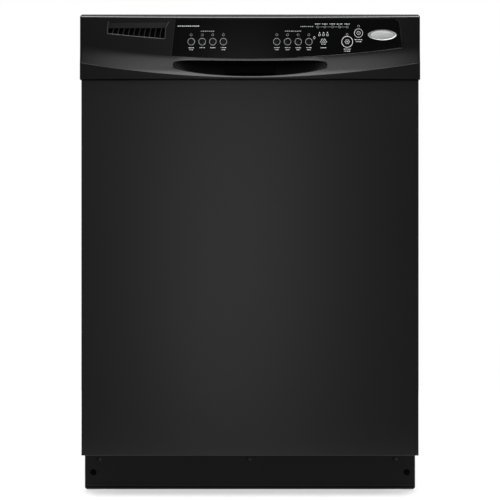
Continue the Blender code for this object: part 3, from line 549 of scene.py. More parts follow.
# ------------------------------------------------------------------ camera
cam_data = bpy.data.cameras.new("camera")
cam = bpy.data.objects.new("camera", cam_data)
scene.collection.objects.link(cam)
cam_data.sensor_width = 36.0
cam_data.lens = 1795.8 / 500 * 36.0
cam_data.shift_y = -0.15
cam.location = (0.0, -3.490, 0.5755)
cam.rotation_euler = (math.radians(90), 0, 0)
cam_data.clip_start, cam_data.clip_end = 0.05, 60.0
scene.camera = cam

# ------------------------------------------------------------------ studio
bm = bmesh.new()
bmesh.ops.create_grid(bm, x_segments=6, y_segments=6, size=0.95)
bmesh.ops.translate(bm, vec=(0, 0.36, 0), verts=bm.verts)
floor = from_bmesh("studio_floor", bm)
floor_mat, tree, sh = principled("pale_floor", (0.50, 0.50, 0.50), 0.7, spec=0.1)
sh.inputs["Emission Color"].default_value = (1, 1, 1, 1)
sh.inputs["Emission Strength"].default_value = 0.50
give(floor, floor_mat)

world = bpy.data.worlds.new("studio") if scene.world is None else scene.world
scene.world = world
world.use_nodes = True
wt = world.node_tree
wt.nodes.clear()
out = wt.nodes.new("ShaderNodeOutputWorld")
mix = wt.nodes.new("ShaderNodeMixShader")
soft = wt.nodes.new("ShaderNodeBackground")
seen = wt.nodes.new("ShaderNodeBackground")
path = wt.nodes.new("ShaderNodeLightPath")
soft.inputs["Color"].default_value = (1, 1, 1, 1)
soft.inputs["Strength"].default_value = 0.17
seen.inputs["Color"].default_value = (1, 1, 1, 1)
seen.inputs["Strength"].default_value = 1.0
wt.links.new(path.outputs["Is Camera Ray"], mix.inputs["Fac"])
wt.links.new(soft.outputs["Background"], mix.inputs[1])
wt.links.new(seen.outputs["Background"], mix.inputs[2])
wt.links.new(mix.outputs["Shader"], out.inputs["Surface"])
scene.view_settings.view_transform = "Standard"
scene.view_settings.look = "None"


def area(name, location, target, size_x, size_y, power):
    data = bpy.data.lights.new(name, "AREA")
    data.shape = "RECTANGLE"
    data.size, data.size_y, data.energy = size_x, size_y, power
    obj = bpy.data.objects.new(name, data)
    scene.collection.objects.link(obj)
    obj.location = location
    obj.rotation_euler = (Vector(target) - Vector(location)).to_track_quat("-Z", "Y").to_euler()
    return obj


area("top_softbox", (0.0, -0.3, 3.2), (0, -0.3, 0.0), 2.3, 4.2, 235)
area("upper_front_softbox", (0.0, -4.1, 2.9), (0, -0.3, 0.6), 1.9, 2.2, 44)
area("front_softbox", (-0.08, -5.2, 0.22), (-0.08, -0.3, 0.22), 0.58, 1.78, 5.45)

# ------------------------------------------------------------------ console, in fine detail
def console_section(x, steps=16):
    fy, ly, c1, c2 = face_y(x), lip_y(x), crease1(x), crease2(x)
    top = HEIGHT - TOP_SLOPE * (DOOR_Y1 - fy)
    pts = [(x, DOOR_Y1, CON_Z0), (x, ly + 1.4, CON_Z0), (x, ly + 0.45, CON_Z0 + 0.35), (x, ly, CON_Z0 + 1.1),
           (x, ly, c2 - 0.75), (x, ly + 0.08, c2 - 0.42), (x, ly + 0.28, c2 - 0.18), (x, ly + 0.6, c2 - 0.06)]
    for i in range(steps, 0, -1):
        t = i / steps
        pts.append((x, scoop_y(x, t), c1 + (c2 - c1) * t))
    pts += [(x, fy - 0.1, c1 - 0.25), (x, fy, c1 + 0.25), (x, fy, 800.0 if c1 < 799 else c1 + 1.5), (x, fy, 822.0), (x, fy, 840.0)]
    r = 1.25
    for i in range(7):
        a = math.radians(78) * i / 6
        pts.append((x, fy + r * (1 - math.cos(a)), top - r * 0.98 + r * math.sin(a)))
    pts += [(x, -275.0, HEIGHT - TOP_SLOPE * (DOOR_Y1 + 275.0)), (x, DOOR_Y1, HEIGHT)]
    return pts


ends = [-HALF_W, -HALF_W + 0.5, -HALF_W + 1.2, -HALF_W + 2.2]
xs = ends + stations(-HALF_W + 5, HALF_W - 5, 117) + [-e for e in reversed(ends)]


def end_inset(x):
    """How far the section shrinks at the two rounded ends."""
    d = HALF_W - abs(x)
    r = 2.2
    return 0.0 if d >= r else r - math.sqrt(max(0.0, r * r - (r - d) ** 2))


def inset_section(x):
    k = end_inset(x)
    out = []
    for px, py, pz in console_section(x):
        py = min(py + k, DOOR_Y1) if py < DOOR_Y1 - 0.01 else py
        out.append((px, py, min(pz, HEIGHT - k * 0.8)))
    return out


console = loft([inset_section(x) for x in xs], "console_body", smooth=None)
hollow = loft([[(x, face_y(x) + 4.0, 802.0), (x, face_y(x) + 4.0, 853.0), (x, -250.0, 853.0), (x, -250.0, 802.0)]
               for x in stations(-298, 298, 39)])
side_hollows = [box((s * 229 - 69, -284.0, 750.5), (s * 229 + 69, -250.0, 797.5)) for s in (-1, 1)]


def surface_y(x, z):
    """Depth of the outer surface of the scoop at a height."""
    c1, c2 = crease1(x), crease2(x)
    t = min(1.0, max(0.0, (c1 - z) / (c1 - c2)))
    return scoop_y(x, t)


def pocket_section(x):
    k = math.sqrt(max(0.0, 1 - abs(x / POCKET_X) ** 2.4))
    e = min(1.0, (POCKET_X - abs(x)) / POCKET_X / 0.40)
    soft = e ** 0.95
    rear = face_y(x) - 8.0 + 35.5 * min(k, 0.05 + 0.95 * soft)
    low = 751.2 + 13.5 * (x / POCKET_X) ** 2
    high = 777.9 + 2.4 * (x / POCKET_X) ** 2
    close = max(0.02, (1 - abs(x / POCKET_X) ** 9)) ** 0.62
    tip = 769.8
    low, high = tip + (low - tip) * close, tip + (high - tip) * close
    roof = high + (797.0 - high) * k
    st, sb = surface_y(x, high), surface_y(x, low)
    raw = [(-330.0, low - 1.2), (-330.0, high + 1.1), (st - 0.25, high + 1.1), (st + 0.2, high + 0.62), (st + 0.75, high + 0.25), (st + 1.6, high),
           (face_y(x) + 5.0, high), (face_y(x) + 5.8, high + 0.35 * (roof - high)), (face_y(x) + 6.2, roof), (rear - 4.0, roof),
           (rear - 1.0, roof - 1.0), (rear, roof - 4.0), (rear, low + 5.0), (rear - 1.5, low + 1.5), (rear - 5.0, low),
           (sb + 2.4, low), (sb + 1.3, low - 0.25), (sb + 0.5, low - 0.65), (sb - 0.1, low - 1.2)]
    pts = []
    limit = rear
    for i, (y, z) in enumerate(raw):
        pts.append((x, min(y, limit - (0.0 if 9 <= i <= 13 else 0.02)), z))
    return pts


pocket = loft([pocket_section(x) for x in stations(-POCKET_X, POCKET_X, 97)])


def corner(d, r):
    """How far an edge pulls back, d from a rounded corner of radius r."""
    return 0.0 if d >= r else r - math.sqrt(max(0.0, r * r - (r - d) ** 2))


def overlay_loft(front, back, grow, count=49, name="overlay"):
    secs = []
    l0, r0 = overlay_edges(790.0)
    l1, r1 = overlay_edges(OVL_TOP)
    width = r0 - l0
    steps = [0.0, 0.4, 0.9, 1.6, 2.6, 4.0] + stations(6.0, width - 8.0, count) + [width - d for d in (5.8, 4.2, 3.0, 2.0, 1.2, 0.6, 0.2, 0.0)]
    for step in steps:
        s = step / width
        xb = (l0 - grow) + (r0 - l0 + 2 * grow) * s
        xt = (l1 - grow) + (r1 - l1 + 2 * grow) * s
        zb = crease1(xb) + 1.6 - grow + corner(step, 1.2) + corner(width - step, 2.0)
        zt = OVL_TOP + grow - corner(step, 1.6) - corner(width - step, 5.6)
        secs.append([(xb, face_y(xb) + front, zb), (xt, face_y(xt) + front, zt),
                     (xt, face_y(xt) + back, zt), (xb, face_y(xb) + back, zb)])
    return loft(secs, name)


recess = overlay_loft(-20.0, 1.15, 0.3)


def vent_right(z):
    return -149.2 if z <= VENT_MID else -149.2 + 5.6 * (z - VENT_MID) / (VENT_TOP - VENT_MID)


secs = []
for i in range(25):
    f = i / 24
    row = []
    for dy, z in ((None, VENT_MID), (-0.2, VENT_MID), (1.0, VENT_TOP), (None, VENT_TOP)):
        x = -253.0 + (vent_right(z) + 253.0) * f
        row.append((x, -330.0 if dy is None else face_y(x) + dy, z))
    secs.append(row)
ramp_cut = loft(secs)
slot_cut = loft([[(x, -330.0, vent_floor(x)), (x, -330.0, VENT_MID - 0.4), (x, -280.0, VENT_MID - 0.4), (x, -280.0, vent_floor(x))]
                 for x in stations(-252.6, -151.0, 15)])
KEYS = [("key_cycle_%d" % (i + 1), x, 812.4, 6.6) for i, x in enumerate((-104.4, -85.0, -66.2, -47.2))]
KEYS += [("key_option_%d" % (i + 1), x, 812.4, 6.5) for i, x in enumerate((47.5, 66.7, 85.7, 104.6))]
KEYS += [("key_delay", 130.6, 812.4, 6.2), ("key_start", 172.8, 812.4, 10.5), ("key_cancel", 193.0, 828.0, 8.1)]


def face_frame(x, z, lift):
    """Origin on the bowed face, lifted off it, with axes right, up and out."""
    s = face_slope(x)
    out_v = Vector((s, -1, 0)).normalized()
    return Vector((x, face_y(x), z)) + out_v * lift, Vector((1, s, 0)).normalized(), Vector((0, 0, 1)), out_v


def key_cylinder(x, z, r, front, back, verts=64):
    o, right, up, out_v = face_frame(x, z, 0)
    return cylinder(o - out_v * (front + back) / 2, out_v, r, back - front, verts=verts)


bores = [key_cylinder(x, z, r + 0.28, -3.0, 9.0) for _, x, z, r in KEYS]
boolean(console, [hollow] + side_hollows + [pocket, recess, ramp_cut, slot_cut] + bores, solver="MANIFOLD")
weighted(console, 24)
give(console, M_CONSOLE)
console.data.materials.append(M_PAINTED_SHADE)
console.data.materials.append(M_EDGE_HIGHLIGHT)
console.data.materials.append(M_LIP_LIGHT)
console.data.materials.append(M_RAMP_SHADE)
console.data.materials.append(M_POCKET_SHADE)
console.data.materials.append(M_RIM_HIGHLIGHT)
for p in console.data.polygons:
    c = p.center / MM
    # pocket's inner faces: painted shade, darkest towards the middle
    if abs(c.x) < POCKET_X + 2.0 and c.y > surface_y(c.x, c.z) + 1.7 and 750.0 < c.z < 798.5:
        p.material_index = 5
    # rim above the pocket: painted highlight
    elif abs(c.x) < POCKET_X + 3.0 and 770.5 < c.z < crease1(c.x) + 0.2 and c.y < surface_y(c.x, c.z) + 1.7:
        p.material_index = 6
    # lower lip strip: lighter copy of the console plastic, painted light
    elif c.z < crease2(c.x) - 0.5 and c.y < lip_y(c.x) + 0.2:
        p.material_index = 3
    # top fillet: painted highlight
    elif c.z > 850.5 and c.y < face_y(c.x) + 1.6 and abs(p.normal.z) > 0.22:
        p.material_index = 2
    # vent ramp: darker copy, painted shade
    elif -254.0 < c.x < -143.0 and VENT_MID - 0.5 < c.z < VENT_TOP + 0.5 and c.y < face_y(c.x) + 3.0 and p.normal.y < -0.5 and c.y > face_y(c.x) - 1.0 and abs(p.normal.z) > 0.05:
        p.material_index = 4
    # inside the vent recess: painted shade
    elif c.y > face_y(c.x) + 2.0 and VENT_X0 < c.x < VENT_X1 and 812.0 < c.z < VENT_MID:
        p.material_index = 1
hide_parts("console_housing")
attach(console, "door")

# vent blades: thin, bowed, with round front edges, in a lighter plastic that paints their highlight, standing in front
# of a sheet of painted shade
blades = []
for i in range(10):
    bx = -243.6 + 9.42 * i
    z0, z1 = vent_floor(bx) - 0.5, VENT_MID - 0.1
    secs = []
    for j in range(13):
        t = j / 12
        z = z0 + (z1 - z0) * t
        cx = bx - 1.5 + 3.4 * t ** 1.7
        fy = face_y(bx) + 0.35
        w = 0.55
        secs.append([(cx - w, fy + 0.5, z), (cx - w * 0.6, fy + 0.12, z), (cx, fy, z), (cx + w * 0.6, fy + 0.12, z), (cx + w, fy + 0.5, z),
                     (cx + w, fy + 8.5, z), (cx - w, fy + 8.5, z)])
    blades.append(loft(secs, "blade"))
grille = smooth(join_objects("vent_blades", blades), 40)
give(grille, M_BLADE_HIGHLIGHT)
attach(grille, "door")

# painted shade: a near-black sheet behind the blades, where the vent's openings are in shade
screen = loft([[(x, face_y(x) + 7.0, vent_floor(x) - 2.5), (x, face_y(x) + 7.0, VENT_MID + 1.5), (x, face_y(x) + 8.2, VENT_MID + 1.5), (x, face_y(x) + 8.2, vent_floor(x) - 2.5)]
               for x in stations(-251.5, -151.5, 25)], "vent_shade_sheet")
give(screen, M_PAINTED_SHADE)
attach(screen, "door")

# thin lighter bead round the vent, a painted highlight along its edges, brightest along its lower edge
def bead_line(points, steps=14):
    pts = []
    for (x0, z0), (x1, z1) in zip(points, points[1:]):
        for j in range(steps):
            x = x0 + (x1 - x0) * j / steps
            pts.append((x, face_y(x) - 0.02, z0 + (z1 - z0) * j / steps))
    x, z = points[-1]
    return pts + [(x, face_y(x) - 0.02, z)]


vent_highlight = to_mesh(wires("vent_edge_highlight", [
    (bead_line([(-252.4, VENT_TOP + 1.2), (-253.6, VENT_MID), (-253.9, 827.2), (-202.0, 821.9), (-151.4, 817.5), (-150.0, VENT_MID), (-143.7, VENT_TOP + 1.2)]), False)], 0.42, 3))
give(vent_highlight, M_VENT_HIGHLIGHT)
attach(vent_highlight, "door")

# ------------------------------------------------------------------ keypad overlay
overlay = overlay_loft(-0.15, 0.85, 0.0, name="keypad_sheet")


def border(points, steps=16):
    pts = []
    for (x0, z0), (x1, z1) in zip(points, points[1:]):
        for j in range(steps):
            x = x0 + (x1 - x0) * j / steps
            pts.append((x, face_y(x) - 0.06, z0 + (z1 - z0) * j / steps))
    x, z = points[-1]
    return pts + [(x, face_y(x) - 0.06, z)]


l0, r0 = overlay_edges(790.0)
l1, r1 = overlay_edges(OVL_TOP)
lower = [(x, crease1(x) + 1.35) for x in stations(84.0, 271.2, 24)]
# painted highlight: thin lighter wires along the keypad's left and right edges, where they catch light
edge_highlight = to_mesh(wires("keypad_edge_highlight", [
    (border([(overlay_edges(z)[0] - 0.1, z) for z in stations(crease1(-138) + 2.2, OVL_TOP - 1.2, 6)]), False),
    (border(lower + [(overlay_edges(z)[1] + 0.1, z) for z in stations(crease1(272) + 3.2, OVL_TOP - 5.6, 6)]
            + [(overlay_edges(OVL_TOP)[1] - 5.6 + 5.6 * math.cos(t), OVL_TOP - 5.6 + 5.6 * math.sin(t)) for t in (0.3, 0.6, 0.9, 1.2, 1.5)], 4), False)], 0.32, 2))
give(edge_highlight, M_BORDER_HIGHLIGHT)
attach(edge_highlight, "door")
boolean(overlay, [key_cylinder(x, z, r + 0.28, -3.0, 5.0) for _, x, z, r in KEYS])
mod = overlay.modifiers.new("edge", "BEVEL")
mod.width, mod.segments, mod.limit_method, mod.angle_limit = 0.00022, 2, "ANGLE", math.radians(50)
apply_modifiers(overlay)
weighted(overlay, 40)
give(overlay, M_OVERLAY)
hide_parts("keypad_overlay")
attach(overlay, "door")

for key_name, kx, kz, kr in KEYS:
    o, right, up, out_v = face_frame(kx, kz, 0)
    cap_profile = [(0.0, 0.42), (kr * 0.55, 0.40), (kr - 0.9, 0.34), (kr - 0.35, 0.24), (kr - 0.08, 0.02), (kr, -0.3), (kr, -6.4), (0.0, -6.4)]
    cap = lathe(cap_profile, key_name + "_cap", 64, centre=o, axis=out_v)
    give(cap, M_KEY)
    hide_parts(key_name)
    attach(cap, body_of(key_name))


# flat printed marks, a hair above the surface they are printed on
def annulus(x, z, r0, r1, lift, name, count=48, petals=0, cx=0.0, cz=0.0):
    o, right, up, out_v = face_frame(x, z, lift)
    bm = bmesh.new()
    ring0, ring1 = [], []
    for i in range(count):
        a = 2 * math.pi * i / count
        k = 1.0 + (0.16 * math.cos(petals * a) if petals else 0.0)
        d = right * math.cos(a) + up * math.sin(a)
        ring0.append(bm.verts.new((o + right * cx + up * cz + d * r0 * k) * MM))
        ring1.append(bm.verts.new((o + right * cx + up * cz + d * r1 * k) * MM))
    for i in range(count):
        j = (i + 1) % count
        bm.faces.new((ring0[i], ring1[i], ring1[j], ring0[j]))
    obj = from_bmesh(name, bm, None, recalc=False)
    return obj


def plate(x, z, pts, lift, name):
    """A flat printed shape: outline points in millimetres about (x, z)."""
    o, right, up, out_v = face_frame(x, z, lift)
    bm = bmesh.new()
    vs = [bm.verts.new((o + right * a + up * b) * MM) for a, b in pts]
    bm.faces.new(vs)
    return from_bmesh(name, bm, None, recalc=False)


def bar(x, z, w, h, lift, name):
    n = 6
    r = h / 2
    pts = []
    for i in range(n + 1):
        a = -math.pi / 2 + math.pi * i / n
        pts.append((w / 2 - r + r * math.cos(a), r * math.sin(a)))
    for i in range(n + 1):
        a = math.pi / 2 + math.pi * i / n
        pts.append((-w / 2 + r + r * math.cos(a), r * math.sin(a)))
    return plate(x, z, pts, lift, name)


def print_group(name, objs, mat, body):
    obj = join_objects(name, objs)
    mod = obj.modifiers.new("ink", "SOLIDIFY")
    mod.thickness, mod.offset = 0.00008, 0.0
    apply_modifiers(obj)
    give(obj, mat)
    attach(obj, body)
    return obj


LIFT_F = 0.15 + 0.06      # above the overlay
LIFT_K = 0.42 + 0.05      # above a key
for key_name, kx, kz, kr in KEYS:
    marks = []
    if key_name == "key_start":
        marks += [annulus(kx, kz, kr - 1.15, kr - 0.35, LIFT_K, "m"), annulus(kx, kz, 3.2, 3.8, LIFT_K, "m", petals=6)]
        marks.append(plate(kx, kz, [(-1.2, 0), (0, -1.2), (1.2, 0), (0, 1.2)], LIFT_K, "m"))
    elif key_name == "key_cancel":
        marks += [annulus(kx, kz, kr - 0.95, kr - 0.35, LIFT_K, "m"), annulus(kx, kz, 2.8, 3.3, LIFT_K, "m")]
        marks.append(bar(kx, kz, 1.8, 0.7, LIFT_K + 0.01, "m"))
    elif key_name == "key_delay":
        marks += [annulus(kx, kz, kr - 1.75, kr - 1.15, LIFT_K, "m", petals=6)]
        marks.append(annulus(kx, kz, 1.6, 2.1, LIFT_K, "m"))
    else:
        marks += [annulus(kx, kz, kr - 0.88, kr - 0.3, LIFT_K, "m")]
    print_group(key_name + "_print", marks, M_RING if key_name.startswith(("key_cycle", "key_option")) else M_PRINT, body_of(key_name))


def dashes(x, z, w, h, count, seed):
    """A row of short strokes of uneven width, as a plain stand-in for a caption."""
    out_, run = [], -w / 2
    widths = [0.7 + ((seed * 7 + i * 5) % 4) * 0.2 for i in range(count)]
    unit = w / (sum(widths) + 0.45 * (count - 1))
    for k in widths:
        out_.append(bar(x + run + k * unit / 2, z + (0.12 if (seed + int(k * 10)) % 2 else 0.0), k * unit, h, LIFT_F, "t"))
        run += (k + 0.45) * unit
    return out_


marks, dim = [], []
seed = 0
for key_name, kx, kz, kr in KEYS:
    if key_name.startswith(("key_cycle", "key_option")):
        seed += 1
        dim.append(annulus(kx, 824.6, 1.7, 2.15, LIFT_F, "led", 28))
        marks += dashes(kx, 801.6, 9.5, 1.15, 4, seed)
        if seed not in (2, 3):
            marks += dashes(kx, 798.0, 6.2, 1.15, 3, seed + 3)
for dx in (-7.0, 0.0, 7.0):
    marks.append(annulus(130.6 + dx, 824.6, 1.5, 2.05, LIFT_F, "led", 28))
    marks.append(bar(130.6 + dx, 828.9, 2.0, 1.3, LIFT_F, "t"))
dim.append(annulus(172.8, 825.5, 1.7, 2.1, LIFT_F, "led", 28))
dim.append(annulus(193.0, 840.4, 1.7, 2.1, LIFT_F, "led", 28))
row = (120.2, 133.0, 146.4, 159.2, 172.8)
for i, a in enumerate(row):
    dim.append(annulus(a, 838.8, 1.6, 2.05, LIFT_F, "led", 28))
    marks += dashes(a, 843.9, 9.6, 1.3, 4, i + 2)
for a, b in zip(row, row[1:]):
    dim.append(bar((a + b) / 2, 838.8, b - a - 5.4, 0.4, LIFT_F, "t"))
marks += dashes(-109.4, 840.2, 38, 1.5, 11, 3)
for x, z, w, n in ((-75.5, 831.0, 24, 7), (76.5, 831.0, 29, 8), (101.0, 839.4, 23, 7)):
    dim += dashes(x, z, w, 1.5, n, n)
for x, z, w, n in ((130.6, 801.6, 10, 4), (172.8, 799.4, 12.5, 5), (172.8, 795.8, 10.5, 4), (193.0, 816.2, 13.5, 5), (193.0, 812.6, 9.5, 4)):
    marks += dashes(x, z, w, 1.2, n, n)
dim.append(bar(114.4, 817.6, 2.2, 1.8, LIFT_F, "t"))
marks.append(annulus(114.4, 820.0, 1.4, 1.9, LIFT_F, "t", 16))
print_group("overlay_rings", marks, M_PRINT, "door")
print_group("overlay_bars", dim, M_PRINT_DIM, "door")

# ------------------------------------------------------------------ badge: bright oval with a sunk dark line
BX, BZ, BA, BB = 235.2, 824.8, 26.0, 9.3


def lens(a, b, count=64):
    pts = []
    for i in range(count // 2):
        t = -1 + 2 * i / (count // 2)
        pts.append((a * t, b * (1 - t * t) ** 0.56))
    for i in range(count // 2):
        t = 1 - 2 * i / (count // 2)
        pts.append((a * t, -b * (1 - t * t) ** 0.56))
    return pts


o, right, up, out_v = face_frame(BX, BZ, 0)
rings = [(0.50, 1.0), (1.45, 1.0), (1.62, 0.992), (1.62, 0.975), (1.22, 0.895), (1.20, 0.882), (0.98, 0.875), (0.98, 0.847), (1.20, 0.838), (1.32, 0.6), (1.38, 0.3)]
badge = loft([[o + out_v * d + right * (px * s) + up * (pz * s) for px, pz in lens(BA, BB)] for d, s in rings], "badge_plate", smooth=38)
badge.data.materials.append(M_BADGE)
badge.data.materials.append(M_BADGE_LINE)
for i, p in enumerate(badge.data.polygons):
    p.material_index = 1 if 5 * 64 <= i < 8 * 64 else 0
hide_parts("nameplate")
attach(badge, "door")

# ------------------------------------------------------------------ CAD forms with their hard edges rounded
def refine(node, mat, width=0.6, segments=2, shade=38):
    """The node's own shape, with its flat faces merged and its hard edges rounded."""
    src = nodes[node]
    bpy.context.view_layer.update()
    bm = bmesh.new()
    bm.from_mesh(src.data)
    bm.transform(src.matrix_world)
    bmesh.ops.remove_doubles(bm, verts=bm.verts, dist=2e-6)
    bmesh.ops.dissolve_limit(bm, angle_limit=math.radians(0.6), verts=bm.verts, edges=bm.edges)
    obj = from_bmesh(node + "_fine", bm, None, recalc=True)
    if width:
        mod = obj.modifiers.new("edge", "BEVEL")
        mod.width, mod.segments, mod.limit_method, mod.angle_limit = width * MM, segments, "ANGLE", math.radians(34)
        mod.harden_normals = False
        obj.modifiers.new("weld", "WELD").merge_threshold = 0.000004
        apply_modifiers(obj)
    weighted(obj, shade)
    give(obj, mat)
    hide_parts(node)
    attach(obj, body_of(node))
    return obj


def put(obj, mat, slot, body, *replaced):
    give(obj, mat)
    if replaced:
        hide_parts(*replaced)
    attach(obj, body)
    return obj


def ring_line(x0, x1, y0, y1, z, r, steps=5):
    """A level rounded rectangle."""
    pts = []
    for cx, cy, a0 in ((x1 - r, y1 - r, 0), (x0 + r, y1 - r, 90), (x0 + r, y0 + r, 180), (x1 - r, y0 + r, 270)):
        for i in range(steps + 1):
            a = math.radians(a0 + 90 * i / steps)
            pts.append((cx + r * math.cos(a), cy + r * math.sin(a), z))
    return (pts, True)


# ------------------------------------------------------------------ door skin, toe kick
skin = box((-301.1, -284.0, 74.5), (301.1, DOOR_Y1, 745.15), "door_skin", bevel=0.8, segments=3)
boolean(skin, [box((-299.9, -282.8, 75.7), (299.9, DOOR_Y1 + 10, 743.9))])
weighted(skin, 30)
put(skin, M_PANEL, "black_paint", "door", "door_outer_panel")

toe_fine = refine("toe_kick_panel", M_TOE, 0.35)
hems = []
for cx in (-273.0, 0.0, 267.0):
    hems.append(box((cx - 2.6, -214.1, 55.2), (cx + 2.6, -213.05, 59.4), bevel=0.5))
    hems.append(lathe([(0, 1.0), (1.4, 0.9), (1.9, 0.3), (1.9, -0.4), (0, -0.4)], "rivet", 16, centre=(cx + 0.5, -214.1, 57.2), axis=(0, -1, 0)))
put(smooth(join_objects("toe_kick_clips", hems), 40), M_CLIP_AND_HIGHLIGHT, "steel", "cabinet")
# painted shade: a near-black strip where the groove along the toe kick's bottom falls in shade
line = [box((-300.4, -213.06, 6.9), (300.4, -212.7, 8.7), bevel=0.1, segments=1)]
put(line[0], M_PAINTED_SHADE, "black_plastic", "cabinet").name = "toe_kick_groove_shade"
# painted highlight: a lighter strip along the toe kick's lower edge
toe_highlight_bar = box((-300.6, -213.35, 8.9), (300.6, -212.9, 9.7), "toe_kick_edge_highlight", bevel=0.24, segments=2)
put(toe_highlight_bar, M_CLIP_AND_HIGHLIGHT, "black_plastic", "cabinet")
# painted shade: near-black discs in the holes and rings in the dimples round the screws
hole_shades = []
for cx in (-278.2, -5.2, 261.8):
    hole_shades.append(lathe([(0, 0.16), (1.5, 0.14), (1.9, 0.02), (1.9, -0.2), (0, -0.2)], "hole_shade", 20, centre=(cx, -213.0, 58.0), axis=(0, -1, 0)))
for s in (-1, 1):
    hole_shades.append(lathe([(4.0, 0.10), (5.6, 0.14), (6.0, 0.02), (6.0, -0.2), (4.0, -0.2), (4.0, 0.10)], "dimple_shade", 32, centre=(s * 286, -213.0, 33.0), axis=(0, -1, 0)))
put(smooth(join_objects("toe_kick_hole_shade", hole_shades), 40), M_PAINTED_SHADE, "black_plastic", "cabinet")
for side, s in (("left", -1), ("right", 1)):
    head = lathe([(0, 2.3), (2.2, 2.1), (3.9, 1.3), (4.6, 0.5), (4.7, 0.0), (2.4, 0.0), (2.4, -7.0), (0, -7.0)], "toe_screw_" + side, 40,
                 centre=(s * 286.0, -213.3, 33.0), axis=(0, -1, 0))
    boolean(head, [box((s * 286 - 2.4, -217, 32.6), (s * 286 + 2.4, -214.5, 33.4)), box((s * 286 - 0.4, -217, 30.6), (s * 286 + 0.4, -214.5, 35.4))])
    smooth(head, 35)
    put(head, M_SCREW, "steel", "cabinet", "toe_kick_screw_" + side)

# ------------------------------------------------------------------ racks of coated wire
def tray_lines(hx, y0, y1, z0, z1, xs_, ys_, r, floor_gap):
    """Hoops across and hoops along, the second set lying under the first."""
    lines = []
    for y in ys_:
        lines.append(rounded([(-hx, y, z1), (-hx, y, z0 + floor_gap), (hx, y, z0 + floor_gap), (hx, y, z1)], 14.0, 4))
    for x in xs_:
        lines.append(rounded([(x, y0, z1), (x, y0, z0), (x, y1, z0), (x, y1, z1)], 14.0, 4))
    return lines


def wavy(y, hx, z1, base, amp, n=28):
    """A hoop whose floor rises and falls, for cups to lean on."""
    pts = [(-hx, y, z1), (-hx, y, base + 6), (-hx + 7, y, base)]
    for i in range(1, n):
        x = (-hx + 7) + (2 * hx - 14) * i / n
        pts.append((x, y, base + amp * (0.5 - 0.5 * math.cos(2 * math.pi * 4 * i / n))))
    return pts + [(hx - 7, y, base), (hx, y, base + 6), (hx, y, z1)]


ux, uy0, uy1 = 245.0, -189.0, 232.0
fine = [wavy(y, ux, 586.5, 472.0, 9.0) for y in stations(-168.0, 212.0, 15)]
fine += [rounded([(x, uy0, 586.5), (x, uy0, 468.8), (x, uy1, 468.8), (x, uy1, 586.5)], 14.0, 4) for x in stations(-224.0, 224.0, 15) if abs(x) > 1]
for tx in (-204.0, -170.0, -72.0, -44.0, 44.0, 72.0, 170.0, 204.0):
    base = 475.3 + 9.0 * (0.5 - 0.5 * math.cos(2 * math.pi * 4 * (tx + 238) / 476))
    fine.append([(tx, -168.0, base), (tx, 212.0, base)])
    for y in stations(-154.4, 198.4, 14):
        fine.append([(tx, y, base), (tx, y - 1.0, base + 30), (tx, y - 4.0, base + 62)])
upper_wires = wires("upper_rack_wires", fine, 1.5, 2)
put(upper_wires, M_NYLON, "wire", "upper_rack", "upper_rack")
rims = [ring_line(-ux, ux, uy0, uy1, 587.6, 20.0), ring_line(-ux + 2.6, ux - 2.6, uy0 + 2.6, uy1 - 2.6, 549.0, 18.0), ring_line(-ux + 2.6, ux - 2.6, uy0 + 2.6, uy1 - 2.6, 508.0, 18.0),
        rounded([(-80, uy0, 587.6), (-62, uy0 - 1.4, 574), (62, uy0 - 1.4, 574), (80, uy0, 587.6)], 9.0, 5)]
put(wires("upper_rack_rims", rims, 2.3, 3), M_NYLON, "wire", "upper_rack")

parts = [loft([[(cx, y, z) for cx, z in ((-6, 459), (-6, 467), (-4, 469.4), (4, 469.4), (6, 467), (6, 459), (4, 457), (-4, 457))] for y in (18.0, 234.0)], "duct"),
         lathe([(0, 466.3), (8, 466.3), (11.2, 465), (12, 463), (12, 453), (11, 451), (9.5, 450), (0, 450)], "hub", 40, centre=(0, 20, 0)),
         lathe([(8.4, 9.8), (11.4, 9.8), (12, 9), (12, 4), (10.6, 3.2), (10.6, -6), (12, -7.5), (12, -10), (0, -10), (0, 0), (8.4, 0), (8.4, 9.8)], "dock", 40, centre=(0, 240.5, 459), axis=(0, 1, 0))]
for y in (62.0, 130.0, 198.0):
    parts.append(box((-9.5, y - 4, 463), (9.5, y + 4, 471.5), bevel=1.2))
    parts.append(box((-7.0, y - 2, 456.2), (7.0, y + 2, 464), bevel=0.8))
put(weighted(join_objects("rack_manifold", parts), 38), M_GREY, "grey_plastic", "upper_rack")
parts = []
for s in (-1, 1):
    for y in (126.75, 232.0):
        yy = min(y, 226.0)
        parts.append(lathe([(0, -3.3), (2.4, -3.3), (2.8, -2.0), (5.0, -2.0), (5.5, -3.0), (6.5, -3.3), (7, -2.7), (7, 2.7), (6.5, 3.3), (5.5, 3.0), (5.0, 2.0), (2.8, 2.0), (2.4, 3.3), (0, 3.3)],
                           "roller", 36, centre=(s * 255.5, y, 529), axis=(s, 0, 0)))
        lo, hi = sorted((s * 246.4, s * 248.8))
        parts.append(box((lo, yy - 12, 503), (hi, yy + 9, 555), bevel=1.0))
        parts.append(lathe([(0, 0), (2.2, 0), (2.2, 5.5), (0, 5.5)], "axle", 20, centre=(s * 247.6, y, 529), axis=(s, 0, 0)))
put(weighted(join_objects("upper_rack_rollers", parts), 38), M_GREY, "grey_plastic", "upper_rack")

